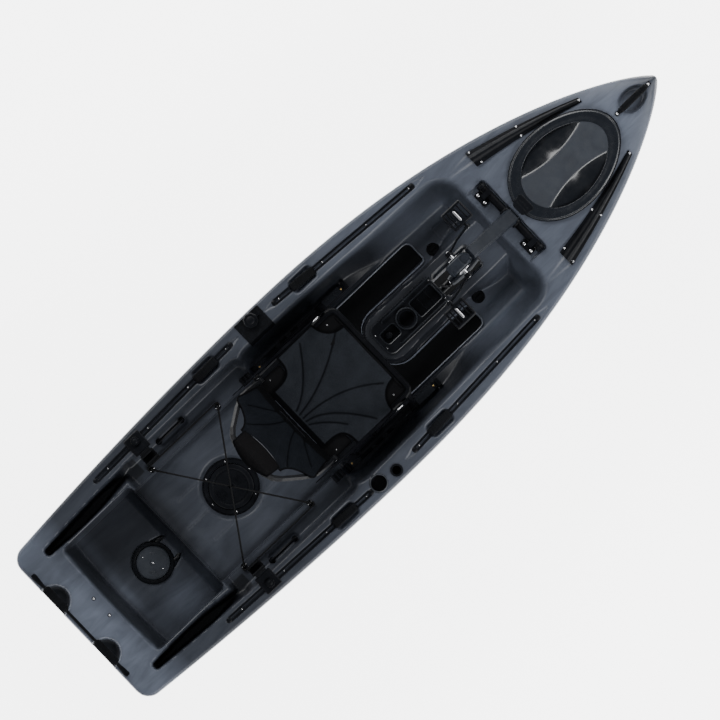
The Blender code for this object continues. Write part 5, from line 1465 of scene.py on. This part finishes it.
def add_drive_details():
    """Bolts, collars and mouldings on the drive, and the fittings of its cranks and pedals."""
    bright, black, casing = Form(), Form(), Form()
    for sign in SIDES.values():
        for x, y in ((0.7608, 0.1530), (0.7608, 0.1140)):
            black.turned([(0, 0.002), (0.0075, 0.002), (0.0080, 0.0), (0, 0.0)], (x, sign * y, 0.3295), steps=18)
            bright.screw((x, sign * y, 0.3312), 0.0064)
    bright.piece("clamp_bolts", STEEL, "hull")
    black.piece("clamp_washers", BLACK, "hull")
    black = Form()
    for sign in SIDES.values():
        for near, far, bore, rim, wide, edge, steps in COLLARS:
            y0, y1 = sorted((sign * near, sign * far))
            black.turned([(bore, y0), (rim, y0), (wide, y0 + edge), (wide, y1 - edge), (rim, y1), (bore, y1)],
                         (PIVOT.x, 0, PIVOT.z), "Y", steps)
    black.piece("crossbar_collars", BLACK, "drive")

    at = Vector((CRANK.x + 0.038, 0, 0.5505))
    casing.turned([(0.0, 0.0012), (0.0085, 0.0012), (0.0095, 0.0), (0.0095, -0.001), (0.0, -0.001)], at, steps=28)
    casing.turned([(0.0150, -0.0005), (0.0158, 0.0014), (0.0185, 0.0014), (0.0194, -0.0005)], at, steps=40)
    slope_down = math.atan2(0.505 - 0.3465, 0.8045 - 0.573)
    start = Vector((0.640, 0, 0.505 - 0.067 * math.tan(slope_down)))
    place = Matrix.Translation(start) @ Matrix.Rotation(slope_down, 4, "Y")
    casing.slab(rounded(oblong(-0.040, 0.150, -0.0175, 0.0175), 0.008), 0.0170, 0.0188, 0.0008, place)
    for y in (0.0225, -0.0225):
        casing.tube([place @ Vector((x, y, 0.0165)) for x in (-0.060, 0.0, 0.080, 0.165)], 0.0016, 6)
    casing.piece("drive_mouldings", CASING, "drive")

    cover = Form()
    for sign in SIDES.values():
        y = sign * 0.0303
        cover.turned([(0.0300, 0.0), (0.0310, sign * 0.0012), (0.0345, sign * 0.0012), (0.0355, 0.0)],
                     (CRANK.x, y, CRANK.z), "Y", 48)
        for k in range(5):
            a = 2 * math.pi * k / 5 + 0.3
            cover.screw((CRANK.x + 0.0240 * math.cos(a), y, CRANK.z + 0.0240 * math.sin(a)), 0.0030, (0, sign, 0),
                        0.0016)
    cover.piece("side_cover_screws", STEEL, "drive")

    hubs = Form()
    for sign in SIDES.values():
        end = CRANK + Vector((0, sign * 0.0655, 0))
        hubs.turned([(0.0, sign * 0.0030), (0.0060, sign * 0.0030), (0.0075, sign * 0.0015), (0.0075, -sign * 0.001),
                     (0.0, -sign * 0.001)], end, "Y", 6)
        eye = CRANK + Vector((sign * CRANK_LENGTH, sign * 0.0790, 0))
        hubs.turned([(0.0, -sign * 0.0022), (0.0050, -sign * 0.0022), (0.0062, -sign * 0.0010),
                     (0.0062, sign * 0.001), (0.0, sign * 0.001)], eye, "Y", 6)
        spindle = CRANK + Vector((sign * CRANK_LENGTH, sign * 0.1455, 0))
        low, high = -0.0325, 0.0325
        hubs.turned([(0.00510, low), (0.00575, low), (0.00575, high), (0.00510, high)], spindle, "Y", 20)
    hubs.piece("crank_bolts", STEEL, "crankset")

    for side, sign in SIDES.items():
        x = CRANK.x + sign * CRANK_LENGTH
        pedal = Form()
        for turn in (1, -1):
            edge_x = x + turn * 0.0445
            for j in range(7):
                y = sign * (0.109 + 0.0122 * j)
                for up in (1, -1):
                    z = CRANK.z + up * 0.0115
                    pedal.turned([(0, up * 0.0022), (0.0013, up * 0.0022), (0.0020, 0.0), (0, 0.0)],
                                 (edge_x, y, z), steps=8)
            a, b = sorted((x + turn * 0.0125, x + turn * 0.0395))
            mid = (a + b) / 2
            pedal.tube([(mid, sign * 0.1125, CRANK.z), (mid, sign * 0.1785, CRANK.z)], 0.0028, 8)
        pedal.piece("pedal_studs_" + side, BLACK, "pedal_" + side)
        sleeve = Form()
        for up in (1, -1):
            sleeve.tube([(x, sign * y, CRANK.z + up * 0.0085) for y in (0.1185, 0.1220, 0.1655, 0.1690)],
                        [0.0030, 0.0062, 0.0062, 0.0030], 14)
        sleeve.piece("pedal_sleeve_" + side, STEEL, "pedal_" + side)


# ---------------------------------------------------------------- the whole


def main():
    add_camera()
    add_studio()
    dress_cad()
    dress("floor_pad", foam_texture())
    add_hull()
    add_seat_fabric()
    add_seat_details()
    add_seat_straps()
    add_bow_hatch()
    add_rear_hatch()
    add_stern_cap()
    add_plugs()
    add_console()
    add_pad_border()
    add_gunwale_details()
    add_side_grips()
    add_tie_loops()
    add_plate_and_knob()
    add_cup_holder()
    add_paddle_holders()
    add_bungee()
    add_bungee_tie()
    add_end_handles()
    add_rail_details()
    add_drive_details()


main()
